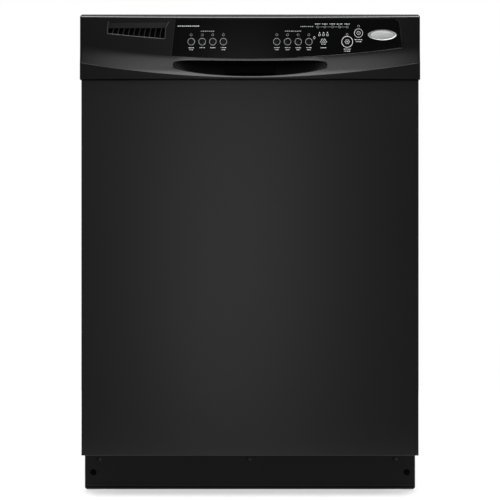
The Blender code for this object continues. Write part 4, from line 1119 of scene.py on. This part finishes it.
lx, ly0, ly1 = 246.0, -183.0, 232.0
fine = tray_lines(lx, ly0, ly1, 182.6, 327.5, stations(-222.0, 222.0, 14), stations(-164.0, 214.0, 14), 1.6, 3.3)
low_rows = [y for y in stations(-164.0, 214.0, 14) if y > -95]
for tx in (-206.0, -164.0, -78.0, -36.0, 36.0, 78.0, 164.0, 206.0):
    fine.append([(tx, -100.0, 189.2), (tx, 218.0, 189.2)])
    for y in low_rows:
        fine.append([(tx, y + 3, 189.2), (tx, y + 1, 240), (tx, y - 5.0, 286)])
lower_wires = wires("lower_rack_wires", fine, 1.6, 2)
put(lower_wires, M_NYLON, "wire", "lower_rack", "lower_rack")
rims = [ring_line(-lx, lx, ly0, ly1, 328.6, 22.0), ring_line(-lx + 2.8, lx - 2.8, ly0 + 2.8, ly1 - 2.8, 284.0, 20.0), ring_line(-lx + 2.8, lx - 2.8, ly0 + 2.8, ly1 - 2.8, 236.0, 20.0),
        rounded([(-90, ly0, 328.6), (-72, ly0 - 1.4, 313), (72, ly0 - 1.4, 313), (90, ly0, 328.6)], 9.0, 5)]
put(wires("lower_rack_rims", rims, 2.4, 3), M_NYLON, "wire", "lower_rack")
parts = []
for s in (-1, 1):
    for y in (-66.0, 190.0):
        a, b = s * 243.4, s * 248.9
        secs = []
        for x in (a, a + s * 0.8, b - s * 0.8, b):
            k = 0.0 if x in (a, b) else 0.8
            secs.append([(x, y - 11 - k, 188 + k), (x, y - 11 - k, 182), (x, y - 6.2 - k, 162), (x, y - 4.5, 157.8 - k), (x, y + 4.5, 157.8 - k), (x, y + 6.2 + k, 162), (x, y + 11 + k, 182), (x, y + 11 + k, 188 + k)])
        parts.append(loft(secs, "hanger"))
        parts.append(lathe([(0, 0), (3.0, 0), (3.0, 7.95), (4.3, 8.05), (4.3, 8.6), (3.2, 9.0), (0, 9.1)], "axle", 24, centre=(s * 248.5, y, 162.1), axis=(s, 0, 0)))
put(weighted(join_objects("wheel_hangers", parts), 38), M_GREY, "grey_plastic", "lower_rack")
for node, s, y in (("lower_rack_wheel_front_left", -1, -66.0), ("lower_rack_wheel_front_right", 1, -66.0), ("lower_rack_wheel_rear_left", -1, 190.0), ("lower_rack_wheel_rear_right", 1, 190.0)):
    parts = [lathe([(3.3, -3.3), (4.6, -3.3), (5.1, -1.3), (10.4, -1.3), (11.1, -3.0), (13.3, -3.5), (14, -2.8), (14, 2.8), (13.3, 3.5), (11.1, 3.0), (10.4, 1.3), (5.1, 1.3), (4.6, 3.3), (3.3, 3.3), (3.3, -3.3)],
                   "rim", 48, centre=(s * 253.0, y, 162.1), axis=(s, 0, 0))]
    for i in range(6):
        a = math.radians(60 * i)
        rib = box((-2.5, 4.6, -0.7), (2.5, 11.2, 0.7), bevel=0.25)
        rib.data.transform(Matrix.Translation(Vector((s * 253.0, y, 162.1)) * MM) @ Matrix.Rotation(a, 4, "X"))
        parts.append(rib)
    put(smooth(join_objects(node + "_fine", parts), 38), M_GREY, "grey_plastic", body_of(node), node)

# ------------------------------------------------------------------ cutlery basket of ribs and bands
parts = []
bx0, bx1, by0, by1, bz0, bz1 = -120.0, 120.0, -178.0, -112.0, 185.2, 300.0
for z0, z1, t in ((291.5, 300.0, 3.0), (236.0, 242.0, 2.6), (185.2, 193.0, 2.8)):
    parts += [box((bx0, by0, z0), (bx1, by0 + t, z1), bevel=0.8), box((bx0, by1 - t, z0), (bx1, by1, z1), bevel=0.8),
              box((bx0, by0, z0), (bx0 + t, by1, z1), bevel=0.8), box((bx1 - t, by0, z0), (bx1, by1, z1), bevel=0.8)]
for x in stations(bx0 + 10.9, bx1 - 10.9, 21):
    parts += [box((x - 1.5, by0 + 0.3, 186), (x + 1.5, by0 + 2.5, 298), bevel=0.6, segments=1), box((x - 1.5, by1 - 2.5, 186), (x + 1.5, by1 - 0.3, 298), bevel=0.6, segments=1)]
    parts.append(box((x - 1.3, by0 + 0.5, 185.6), (x + 1.3, by1 - 0.5, 187.8), bevel=0.5, segments=1))
for y in stations(by0 + 11, by1 - 11, 5):
    for x0, x1 in ((bx0 + 0.3, bx0 + 2.5), (bx1 - 2.5, bx1 - 0.3), (-1.1, 1.1)):
        parts.append(box((x0, y - 1.5, 186), (x1, y + 1.5, 298), bevel=0.6, segments=1))
    parts.append(box((bx0 + 0.5, y - 1.2, 185.5), (bx1 - 0.5, y + 1.2, 187.6), bevel=0.5, segments=1))
for x in (bx0, bx1 - 7):
    for y in (by0, by1 - 7):
        parts.append(box((x, y, bz0), (x + 7, y + 7, bz1 + 0.0), bevel=2.2))
parts += [box((-1.4, by0 + 1, 291), (1.4, by1 - 1, 299), bevel=0.6), box((-1.4, by0 + 1, 236), (1.4, by1 - 1, 241), bevel=0.6)]
grip = []
for x, k in [(-50, 0.3), (-49.2, 0.7), (-47, 0.95), (-40, 1.0), (40, 1.0), (47, 0.95), (49.2, 0.7), (50, 0.3)]:
    grip.append([(x, -145 + 3.0 * k * math.cos(a), 318 + 4.0 * k * math.sin(a)) for a in [2 * math.pi * i / 20 for i in range(20)]])
parts.append(loft(grip, "grip"))
parts.append(loft([[(-26, -145 + d, 316), (-5, -145 + d, 304), (-4, -145 + d, 290), (4, -145 + d, 290), (5, -145 + d, 304), (26, -145 + d, 316)] for d in (-1.7, 1.7)], "web"))
ribs = join_objects("basket_ribs", parts)
for v in ribs.data.vertices:   # stand the basket on the rack's wires, clear of the front rims
    if v.co.z < 0.300:
        v.co.z = 0.300 - (0.300 - v.co.z) * 0.9771
    if v.co.y < -0.145:
        v.co.y = -0.145 + (v.co.y + 0.145) * 0.980
put(weighted(ribs, 40), M_GREY, "grey_plastic", "basket", "silverware_basket")

# ------------------------------------------------------------------ spray arms
def spray_arm(name, node, z, half, cy, hub, jets, tip_nozzle):
    secs = []
    for x in [-half, -half + 0.8, -half + 2.4, -half + 5.5] + stations(-half + 11, half - 11, 41) + [half - 5.5, half - 2.4, half - 0.8, half]:
        f = abs(x) / half
        end = min(1.0, (half - abs(x)) / 9.0)
        k = math.sqrt(max(0.02, 1 - (1 - end) ** 2))
        w = (17.0 - 4.6 * f) * k
        t = (5.0 - 1.3 * f) * (0.35 + 0.65 * k)
        c = cy + 2.2 * math.sin(math.pi * x / half) * (1 - 0.5 * f)
        w = min(w, 17.0 - abs(c - cy))
        sec = []
        for i in range(28):
            a = 2 * math.pi * i / 28
            ca, sa = math.cos(a), math.sin(a)
            sec.append((x, c + w * math.copysign(abs(ca) ** 0.75, ca), z + t * math.copysign(abs(sa) ** 0.8, sa)))
        secs.append(sec)
    body = loft(secs, "arm")
    pieces = [body, lathe(hub, "hub", 56, centre=(0, cy, 0))]
    bore_shade = []
    for x in jets:
        f = abs(x) / half
        t = 5.0 - 1.3 * f
        c = cy + 2.2 * math.sin(math.pi * x / half) * (1 - 0.5 * f) + (3.0 if int(abs(x)) % 2 else -3.0)
        pieces.append(lathe([(1.7, -1.2), (1.7, 0.25), (2.0, 0.55), (3.4, 0.45), (4.2, -0.25), (4.4, -1.2), (1.7, -1.2)], "jet", 24, centre=(x, c, z + t - 0.2)))
        # painted shade: near-black discs in the jet bores
        bore_shade.append(lathe([(0, 0.25), (1.65, 0.25), (1.65, -0.8), (0, -0.8)], "bore", 20, centre=(x, c, z + t - 0.2)))
    obj = smooth(join_objects(name, pieces), 42)
    put(obj, M_ARM, "grey_plastic", body_of(node), node)
    put(smooth(join_objects(name + "_jet_bore_shade", bore_shade), 42), M_PAINTED_SHADE, "grey_plastic", body_of(node))


spray_arm("lower_arm_fine", "lower_spray_arm", 158.0, 214.0, 0.0,
          [(0, 168.0), (5, 167.9), (6, 167.0), (12, 166.6), (17, 165.2), (20.5, 163.0), (22, 160.0), (22, 152.0), (21, 148.0), (18, 146.5), (18, 141.0), (17, 138.6), (0, 138.6)],
          (-204, -181, -150, -117, -84, -51, 51, 84, 117, 150, 181, 204), True)
spray_arm("upper_arm_fine", "upper_spray_arm", 438.0, 205.0, 20.0,
          [(0, 449.2), (9, 449.2), (10, 448.2), (11, 446.0), (16, 444.6), (18, 442.0), (18, 434.0), (16.5, 431.2), (12, 430.2), (0, 430.0)],
          (-194, -171, -140, -107, -74, -41, 41, 74, 107, 140, 171, 194), True)

# ------------------------------------------------------------------ quilted blanket round the tub
from mathutils import noise as mnoise


def pillow(a, b, pitch=94.0):
    q = (abs(math.sin(math.pi * a / pitch)) * abs(math.sin(math.pi * b / pitch))) ** 0.42
    return q


def wrinkle(a, b, k):
    """Slow waves and small puckers, 0 to about 1.8 mm."""
    slow = 0.5 + 0.5 * mnoise.noise(Vector((a * 0.013, b * 0.013, k)))
    quick = 0.5 + 0.5 * mnoise.noise(Vector((a * 0.06, b * 0.035, k + 5.0)))
    return 1.1 * slow + 0.7 * quick


def slab(outer, inner, nu, nv):
    """A closed slab from two functions of (u, v) in 0..1."""
    bm = bmesh.new()
    top = [[bm.verts.new(Vector(outer(i / nu, j / nv)) * MM) for j in range(nv + 1)] for i in range(nu + 1)]
    low = [[bm.verts.new(Vector(inner(i / nu, j / nv)) * MM) for j in range(nv + 1)] for i in range(nu + 1)]
    for i in range(nu):
        for j in range(nv):
            bm.faces.new((top[i][j], top[i + 1][j], top[i + 1][j + 1], top[i][j + 1]))
            bm.faces.new((low[i][j], low[i][j + 1], low[i + 1][j + 1], low[i + 1][j]))
    for i in range(nu):
        bm.faces.new((top[i][0], low[i][0], low[i + 1][0], top[i + 1][0]))
        bm.faces.new((top[i][nv], top[i + 1][nv], low[i + 1][nv], low[i][nv]))
    for j in range(nv):
        bm.faces.new((top[0][j], top[0][j + 1], low[0][j + 1], low[0][j]))
        bm.faces.new((top[nu][j], low[nu][j], low[nu][j + 1], top[nu][j + 1]))
    return from_bmesh("slab", bm, None)


def wrap_path(hx, z0, z1, r):
    """Points, normals and lengths up one side, over the top and down the other."""
    pts = [(Vector((-hx, 0, z0)), Vector((-1, 0, 0)))]
    for i in range(9):
        a = math.pi - (math.pi / 2) * i / 8
        pts.append((Vector((-hx + r + r * math.cos(a), 0, z1 - r + r * math.sin(a))), Vector((math.cos(a), 0, math.sin(a)))))
    for i in range(9):
        a = math.pi / 2 - (math.pi / 2) * i / 8
        pts.append((Vector((hx - r + r * math.cos(a), 0, z1 - r + r * math.sin(a))), Vector((math.cos(a), 0, math.sin(a)))))
    pts.append((Vector((hx, 0, z0)), Vector((1, 0, 0))))
    run = [0.0]
    for (p, _), (q, _) in zip(pts, pts[1:]):
        run.append(run[-1] + (q - p).length)

    def at(u):
        d = u * run[-1]
        for k in range(len(run) - 1):
            if d <= run[k + 1] + 1e-9:
                f = (d - run[k]) / max(1e-9, run[k + 1] - run[k])
                return pts[k][0].lerp(pts[k + 1][0], f), pts[k][1].lerp(pts[k + 1][1], f).normalized(), d
        return pts[-1][0], pts[-1][1], run[-1]
    return at


out_path, in_path = wrap_path(285.8, 150.2, 856.8, 16.0), wrap_path(273.4, 150.2, 846.6, 24.0)


def wrap_outer(u, v):
    p, n, d = out_path(u)
    y = -184.5 + (293.5 + 184.5) * v
    edge = min(v, 1 - v) * 478.0
    drop = 5.0 * (1 - pillow(d - 47, y)) + wrinkle(d, y, 3.1)
    if edge < 8:
        drop += 3.2 * (1 - math.sqrt(max(0.0, 1 - (1 - edge / 8) ** 2)))
    q = p - n * drop
    return (q.x, y, q.z)


def wrap_inner(u, v):
    p, n, d = in_path(u)
    return (p.x, -184.5 + 478.0 * v, p.z)


def back_outer(u, v):
    x, z = -285.4 + 570.8 * u, 150.4 + 706.0 * v
    drop = 5.0 * (1 - pillow(x, z)) + wrinkle(x, z, 7.7)
    edge = min(x + 285.4, 285.4 - x, z - 150.4, 856.4 - z)
    if edge < 8:
        drop += 6.0 * (1 - math.sqrt(max(0.0, 1 - (1 - edge / 8) ** 2)))
    return (x, 307.8 - drop, z)


def back_inner(u, v):
    return (-285.4 + 570.8 * u, 294.6, 150.4 + 706.0 * v)


quilt = join_objects("quilted_blanket", [slab(wrap_outer, wrap_inner, 252, 64), slab(back_outer, back_inner, 78, 96)])
smooth(quilt, 60)
put(quilt, M_FELT, "felt", "cabinet", "insulation_blanket")
total = 2 * (856.8 - 16.0 - 150.2) + 2 * (285.8 - 16.0) + math.pi * 16.0
thread = []
for y in (-94.0, 0.0, 94.0, 188.0, 282.0):
    v = (y + 184.5) / 478.0
    for i in range(int(total / 10)):
        a, b = Vector(wrap_outer((i * 10 + 2) / total, v)), Vector(wrap_outer((i * 10 + 8) / total, v))
        thread.append([a, b])
for k in range(21):
    d = 47.0 + 94.0 * k
    if d < total - 10:
        for i in range(47):
            thread.append([Vector(wrap_outer(d / total, (i * 10 + 2) / 478.0)), Vector(wrap_outer(d / total, (i * 10 + 8) / 478.0))])
for x in (-282.0, -188.0, -94.0, 0.0, 94.0, 188.0, 282.0):
    for i in range(70):
        thread.append([Vector(back_outer((x + 285.4) / 570.8, (i * 10 + 3) / 706.0)), Vector(back_outer((x + 285.4) / 570.8, (i * 10 + 8) / 706.0))])
for z in (188.0, 282.0, 376.0, 470.0, 564.0, 658.0, 752.0, 846.0):
    for i in range(56):
        thread.append([Vector(back_outer((i * 10 + 3) / 570.8, (z - 150.4) / 706.0)), Vector(back_outer((i * 10 + 8) / 570.8, (z - 150.4) / 706.0))])
put(wires("blanket_stitches", thread, 0.55, 1), M_BLACK, "felt", "cabinet")
seams = []
for s in (-1, 1):
    seams.append([(s * 284.2, 296.5, z) for z in stations(156.0, 838.0, 40)])
seams.append([(x, 296.5, 855.0) for x in stations(-270.0, 270.0, 34)])
put(to_mesh(wires("blanket_seam_piping", seams, 1.3, 2)), M_RUBBER, "felt", "cabinet")

# ------------------------------------------------------------------ springs and cords
CORD_Z0 = 117.3
for side, s in (("left", -1), ("right", 1)):
    cx = s * 287.2
    turns, n = 52, 12
    pts = []
    for y, rr in ((-118.0, 0.0), (-114.5, 0.4), (-112.5, 2.0)):
        pts.append((cx, y, CORD_Z0 + rr))
    for i in range(turns * n + 1):
        a = 2 * math.pi * i / n
        pts.append((cx + 4.2 * math.sin(a), -111.0 + (63.0 + 111.0) * i / (turns * n), CORD_Z0 + 4.2 * math.cos(a)))
    for y, rr in ((64.5, 2.0), (66.5, 0.4), (70.0, 0.0)):
        pts.append((cx, y, CORD_Z0 + rr))
    coil = to_mesh(wires("door_coil_" + side, [pts], 0.95, 1), 60)
    give(coil, M_STEEL_X)
    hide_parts("door_spring_" + side)
    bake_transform(coil)
    strands = []
    for k in range(3):
        strands.append([(cx + 0.62 * math.cos(2 * math.pi * (i / 10 + k / 3)), -244.6 + (244.6 - 131.0) * i / 200, CORD_Z0 + 0.62 * math.sin(2 * math.pi * (i / 10 + k / 3))) for i in range(201)])
    cord = to_mesh(wires("cord_strands_" + side, strands, 0.66, 1), 60)
    clamp = box((cx - 2.2, -134.0, CORD_Z0 - 3.0), (cx + 2.2, -118.3, CORD_Z0 + 3.0), bevel=0.9)
    put(smooth(join_objects("cord_rope_" + side, [cord, clamp]), 50), M_BLACK, "key", "cord_" + side, "balance_cord_" + side)

# ------------------------------------------------------------------ motor, pump, valve
prof = [(0, 72.3), (22, 72.3), (23, 73.5), (31, 76), (36, 79), (38.6, 83), (38.6, 92), (37.4, 93.0)]
for i in range(16):
    y = 94.0 + 3.4 * i
    prof += [(37.4, y), (39.0, y + 0.3), (39.0, y + 2.2), (37.4, y + 2.5)]
prof += [(37.4, 150.5), (38.4, 151.5), (38.2, 158), (34, 170), (27, 178), (19, 181.6), (13.4, 182.3), (13, 184), (13, 194.2), (11.6, 196), (0, 196)]
motor = [lathe(prof, "can", 64, centre=(0, 0, 76), axis=(0, 1, 0), smooth_angle=30)]
for i in range(4):
    a = math.radians(45 + 90 * i)
    motor.append(lathe([(0, 0), (2.4, 0), (3.6, 0.8), (3.6, 3.2), (0, 3.2)], "bolt", 6, centre=(31 * math.cos(a), 174.0, 76 + 31 * math.sin(a)), axis=(0, 1, 0)))
put(smooth(join_objects("motor_can", motor), 32), M_GALV, "steel", "cabinet", "wash_motor")
term = [box((36, 106, 60), (51.5, 159, 90), bevel=2.5)]
for i in range(6):
    term.append(box((50.6, 112 + 7 * i, 66), (52.0, 115 + 7 * i, 84), bevel=0.4))
put(smooth(join_objects("motor_terminal_cover", term), 38), M_BLACK, "steel", "cabinet")

pump = [lathe([(0, 72.3), (16, 72.3), (23.2, 73.2), (24, 75), (24, 86), (22.6, 87), (22.6, 90), (24, 91), (24, 97), (20, 99), (20, 127), (18.5, 131), (15, 132), (15, 147), (13.8, 149), (0, 149)], "pump", 56, centre=(0, 0, 84), axis=(-1, 0, 0), smooth_angle=32),
        lathe([(5.6, 30), (7.4, 30), (8, 31.2), (6.9, 34), (8, 34.4), (6.9, 38), (8, 38.4), (6.9, 42), (7.4, 43), (8, 60), (8, 70), (0, 70), (0, 48), (5.6, 48), (5.6, 30)], "spigot", 36, centre=(-84, 0, 0), axis=(0, 0, 1))]
for i in range(10):
    a = 2 * math.pi * i / 10
    rib = box((-126.0, -0.9, 19.0), (-100.0, 0.9, 23.4), bevel=0.4)
    rib.data.transform(Matrix.Translation(Vector((0, 0, 84)) * MM) @ Matrix.Rotation(a, 4, "X"))
    pump.append(rib)
put(smooth(join_objects("drain_pump_fine", pump), 34), M_WHITE, "white_plastic", "cabinet", "drain_pump")

valve = [box((-186, -208.5, 62), (-146, -168, 92), bevel=2.4), box((-182, -200, 91), (-150, -176, 94), bevel=0.8),
         box((-181.8, -199.8, 94), (-150.2, -196.4, 116), bevel=0.8), box((-181.8, -179.6, 94), (-150.2, -176.2, 116), bevel=0.8),
         lathe([(0, 94), (11.2, 94), (11.8, 95), (11.8, 97), (10.6, 97.6), (10.6, 111.4), (11.8, 112), (11.8, 115), (11, 116), (0, 116)], "coil", 48, centre=(-166, -188, 0)),
         lathe([(6.5, 26), (9.0, 26), (9.5, 27)] + [p for i in range(9) for p in ((9.5, 28 + 2.2 * i), (8.8, 29.1 + 2.2 * i))] + [(9.5, 48), (9.5, 66), (0, 66), (0, 44), (6.5, 44), (6.5, 26)], "inlet", 40, centre=(-166, -188, 0)),
         lathe([(4.4, 15), (6.2, 15), (7, 13), (5.8, 10), (7, 9.6), (5.8, 6), (7, 5.6), (5.8, 2), (7, 0), (7, -15), (0, -15), (0, 2), (4.4, 2), (4.4, 15)], "outlet", 36, centre=(-166, -160, 80), axis=(0, 1, 0))]
put(smooth(join_objects("water_valve_fine", valve), 34), M_WHITE, "white_plastic", "cabinet", "water_valve")

# ------------------------------------------------------------------ levelling feet
for where, (fx, fy) in (("front_left", (-291, -172)), ("front_right", (291, -172)), ("rear_left", (-291, 270)), ("rear_right", (291, 270))):
    prof = [(0, 0), (10.8, 0), (11.8, 1.3), (11.7, 4.2), (10.2, 5.8), (6.0, 6.4), (5.0, 6.8), (5.0, 13.0)]
    for i in range(26):
        z = 13.6 + 1.5 * i
        prof += [(5.0, z), (4.35, z + 0.75)]
    prof += [(4.9, 52.4), (4.2, 53), (0, 53)]
    foot = [lathe(prof, "leg", 32, centre=(fx, fy, 0), smooth_angle=25), cylinder((fx, fy, 10.0), (0, 0, 1), 9.0, 7.0, verts=6, smooth=30)]
    put(join_objects("foot_" + where + "_fine", foot), M_BLACK, "black_plastic", body_of("foot_" + where), "foot_" + where)

# ------------------------------------------------------------------ inside of the tub
hoop = []
for i in range(73):
    a = math.radians(90 + 15 + 330 * i / 72)
    hoop.append((150 * math.cos(a), 150 * math.sin(a), 141.0))
first, last = hoop[0], hoop[-1]
line = [(first[0], first[1] - 4, 126.4), (first[0], first[1] - 2.5, 133), (first[0], first[1] - 1, 138)] + hoop + [(last[0], last[1] - 1, 138), (last[0], last[1] - 2.5, 133), (last[0], last[1] - 4, 126.4)]
put(to_mesh(wires("heater_loop", [line], 3.5, 4)), M_ELEMENT, "element_metal", "cabinet", "heating_element")
clips = []
for a in (30, 150, 215, 325):
    c, s_ = math.cos(math.radians(a)), math.sin(math.radians(a))
    clip = box((-3, -2.2, 124.3), (3, 2.2, 137.0), bevel=0.6)
    top = box((-5.2, -2.2, 136.2), (5.2, 2.2, 139.4), bevel=0.6)
    for q in (clip, top):
        q.data.transform(Matrix.Translation(Vector((150 * c, 150 * s_, 0)) * MM) @ Matrix.Rotation(math.radians(a), 4, "Z"))
    clips += [clip, top]
for x in (first[0], last[0]):
    clips.append(lathe([(3.6, 0), (8.0, 0), (9.0, 1), (9.0, 3.4), (7.4, 4.6), (3.6, 5.0), (3.6, 0)], "boss", 32, centre=(x, first[1] - 4, 124.2)))
put(smooth(join_objects("heater_supports", clips), 38), M_STEEL_X, "steel", "cabinet")

dome = [lathe([(0, 158.0), (6, 157.7), (11, 156.2), (15.5, 153), (18, 148.5), (19, 143), (19, 127), (18.2, 126.1), (0, 126.1)], "dome", 48, centre=(205, -192, 0))]
for i in range(12):
    a = 2 * math.pi * i / 12
    rib = box((18.2, -0.8, 128.0), (19.6, 0.8, 141.0), bevel=0.35)
    rib.data.transform(Matrix.Translation(Vector((205, -192, 0)) * MM) @ Matrix.Rotation(a, 4, "Z"))
    dome.append(rib)
put(smooth(join_objects("float_dome_fine", dome), 38), M_WHITE, "white_plastic", "float", "float_dome")

screen = [lathe([(15.5, 124.6), (17.5, 126.0), (21, 126.0), (21, 122.5), (58, 125.2), (60.5, 127.4), (63.5, 127.2), (64.2, 125.6), (63.0, 124.4), (59, 123.0), (22, 120.8), (15.5, 121.5), (15.5, 124.6)], "pan", 72)]
for i in range(48):
    a = 2 * math.pi * i / 48
    rib = box((23.0, -0.8, 122.6), (58.5, 0.8, 126.4), bevel=0.3, segments=1)
    rib.data.transform(Matrix.Rotation(a, 4, "Z"))
    screen.append(rib)
for r in (34.0, 46.0):
    screen.append(lathe([(r, 122.6), (r, 126.8), (r + 1.4, 126.8), (r + 1.4, 122.6), (r, 122.6)], "ring", 72))
put(smooth(join_objects("sump_strainer", screen), 38), M_DARK_GREY, "grey_plastic", "cabinet")

ribs = []
for x in (-205, -123, -41, 41, 123, 205):
    if abs(x) > 45:
        ribs.append(box((x - 5, 288.8, 205), (x + 5, 291.2, 790), bevel=1.1))
for s in (-1, 1):
    for y in (-150, -70, 10, 90, 170, 245):
        lo, hi = sorted((s * 267.2, s * 269.2))
        ribs.append(box((lo, y - 5, 196), (hi, y + 5, 500), bevel=0.9))
        ribs.append(box((lo, y - 5, 562), (hi, y + 5, 800), bevel=0.9))
put(weighted(join_objects("tub_wall_ribs", ribs), 40), M_TUB, "grey_plastic", "cabinet")

bulb = []
for off, dy in ((-4.2, 0.0), (0.0, 0.0), (4.2, 0.0)):
    hx, top_z = 273.4 + off, 843.6 + off
    bulb.append(rounded([(-hx, -235.8, 139.6), (-hx, -235.8, top_z), (hx, -235.8, top_z), (hx, -235.8, 139.6)], 14.0 + off, 8))
gasket = to_mesh(wires("gasket_bulbs", bulb, 1.75, 3))
strip = []
for lo_x, hi_x in ((-279.6, -267.4), (267.4, 279.6)):
    strip.append(box((lo_x, -235.3, 139.4), (hi_x, -234.1, 838.0), bevel=0.3, segments=1))
strip.append(box((-268.0, -235.3, 838.7), (268.0, -234.1, 848.6), bevel=0.3, segments=1))
put(smooth(join_objects("gasket_bulbs", [gasket] + strip), 50), M_RUBBER, "rubber", "cabinet", "tub_gasket")

# ------------------------------------------------------------------ inside of the door
screws = []
for s in (-1, 1):
    for z in (175, 300, 425, 550, 675, 800):
        screws.append(lathe([(0, 1.5), (1.8, 1.4), (3.2, 0.8), (3.7, 0.0), (3.7, -0.3), (0, -0.3)], "s", 28, centre=(s * 289.0, -238.0, z), axis=(0, 1, 0)))
for x in (-240, -150, -60, 60, 150, 240):
    screws.append(lathe([(0, 1.5), (1.8, 1.4), (3.2, 0.8), (3.7, 0.0), (3.7, -0.3), (0, -0.3)], "s", 28, centre=(x, -238.0, 85.5), axis=(0, 1, 0)))
put(smooth(join_objects("liner_screws", screws), 35), M_STEEL_X, "steel", "door")
emboss = []
for z in (205.0, 235.0, 265.0, 295.0, 325.0):
    emboss.append(box((-215, -222.4, z - 4.5), (215, -220.8, z + 4.5), bevel=0.75))
for z in (640.0, 668.0, 696.0, 724.0, 752.0):
    emboss.append(box((-215, -222.4, z - 4.5), (215, -220.8, z + 4.5), bevel=0.75))
put(weighted(join_objects("liner_ribs", emboss), 40), M_LINER, "grey_plastic", "door")

frame_strips = [box((-90, -213.2, 584.5), (80, -211.9, 587.5), bevel=0.5),
                box((-90, -213.2, 384), (-87, -211.9, 587), bevel=0.5), box((77, -213.2, 384), (80, -211.9, 587), bevel=0.5),
                box((-80, -213.2, 386), (-77.5, -211.2, 574), bevel=0.6), box((17.5, -213.2, 386), (20, -211.2, 574), bevel=0.6)]
for i in range(8):
    frame_strips.append(box((28, -213.2, 392 + 11.0 * i), (68, -212.2, 396.5 + 11.0 * i), bevel=0.45))
put(weighted(join_objects("dispenser_frame", frame_strips), 40), M_WHITE, "white_plastic", "door")
knob = [lathe([(0, -213.0 + 528 - 528 - 3.0), (12.2, -216.0), (12.4, -212.9), (14.0, -212.7), (16.2, -212.5), (16.5, -211.8), (16.4, -209.0), (15.6, -207.9), (13.4, -207.7), (12.9, -208.6), (0, -208.6)], "knob", 56, centre=(42, 0, 528), axis=(0, 1, 0)),
        box((28.6, -209.4, 525.6), (55.4, -203.6, 530.4), bevel=1.5)]
for i in range(24):
    a = 2 * math.pi * i / 24
    rib = box((15.9, -211.6, -0.6), (16.7, -208.6, 0.6), bevel=0.2, segments=1)
    rib.data.transform(Matrix.Translation(Vector((42, 0, 528)) * MM) @ Matrix.Rotation(a, 4, "Y"))
    knob.append(rib)
put(smooth(join_objects("rinse_cap_fine", knob), 38), M_GREY, "white_plastic", body_of("rinse_aid_cap"), "rinse_aid_cap")

# ------------------------------------------------------------------ electronics behind the keypad
board = [box((-128, -287.0, 805), (262, -285.4, 850), bevel=0.3, segments=1)]
put(smooth(join_objects("board_laminate", board), 38), M_BOARD, "board", "door", "control_board")
comps, metal = [], []
for x, z, w, h, d in ((-110, 828, 22, 14, 13), (-84, 828, 22, 14, 13), (-58, 828, 22, 14, 13), (-26, 832, 28, 20, 11), (12, 818, 16, 9, 8), (44, 830, 19, 17, 6), (92, 828, 14, 24, 9),
                      (122, 815, 30, 8, 10), (168, 830, 24, 20, 12), (206, 822, 18, 18, 5), (236, 830, 20, 12, 10)):
    comps.append(box((x - w / 2, -285.5, z - h / 2), (x + w / 2, -285.4 + d, z + h / 2), bevel=0.9))
for x, z, r, d in ((-6, 843, 4.2, 9), (4, 843, 4.2, 9), (66, 812, 5.0, 12), (78, 812, 5.0, 12), (146, 842, 3.2, 7), (188, 843, 3.2, 7), (220, 841, 4.0, 10)):
    metal.append(lathe([(0, d), (r - 0.7, d), (r, d - 0.8), (r, 1.6), (r - 0.5, 1.2), (r, 0.8), (r, 0.0), (0, 0.0)], "cap", 28, centre=(x, -285.4, z), axis=(0, 1, 0)))
put(smooth(join_objects("board_components", comps), 38), M_BLACK, "board", "door")
put(smooth(join_objects("board_capacitors", metal), 38), M_STEEL_Y, "board", "door")

# ------------------------------------------------------------------ the rest keep the CAD form with softer edges
for node, mat, slot_name, width, seg in (
        ("latch_paddle", M_PADDLE_SHADE, "key", 0.5, 2), ("latch_hook", M_STEEL_Y, "steel", 0.5, 2), ("door_inner_liner", M_LINER, "grey_plastic", 0.75, 2),
        ("dispenser_housing", M_WHITE, "white_plastic", 0.6, 2), ("dispenser_lid", M_GREY, "grey_plastic", 0.6, 2), ("hinge_arm_left", M_STEEL_Z, "steel", 0.45, 2),
        ("hinge_arm_right", M_STEEL_Z, "steel", 0.45, 2), ("tub", M_TUB, "grey_plastic", 1.2, 3), ("door_strike", M_GALV, "steel", 0.5, 2),
        ("chassis_frame", M_GALV, "steel", 0.4, 2), ("mounting_bracket_left", M_GALV, "steel", 0.3, 2), ("mounting_bracket_right", M_GALV, "steel", 0.3, 2),
        ("sump_housing", M_BLACK, "black_plastic", 0.8, 2), ("upper_rack_rail_left", M_STEEL_Y, "steel", 0.4, 2), ("upper_rack_rail_right", M_STEEL_Y, "steel", 0.4, 2)):
    refine(node, mat, width, seg)
feed = to_mesh(wires("feed_tube_fine", [rounded([(0, 48, 116), (0, 48, 139), (0, 277, 139), (0, 277, 459), (0, 252, 459)], 14.0, 8)], 8.4, 6))
parts = [feed]
for y in (110.0, 200.0):
    parts.append(box((-11, y - 3.5, 124.2), (11, y + 3.5, 133.0), bevel=1.2))
for z in (230.0, 380.0):
    parts.append(box((-11, 280.0, z - 4), (11, 290.8, z + 4), bevel=1.2))
parts.append(lathe([(8.0, 0), (10.4, 0), (11.0, 1), (11.0, 4), (9.6, 5.2), (8.0, 5.4), (8.0, 0)], "collar", 36, centre=(0, 258.4, 459), axis=(0, -1, 0)))
put(smooth(join_objects("feed_tube_fine", parts), 48), M_GREY, "grey_plastic", "cabinet", "feed_tube")

for node in nodes.values():
    if not node.hide_render:
        give(node, M_GREY)
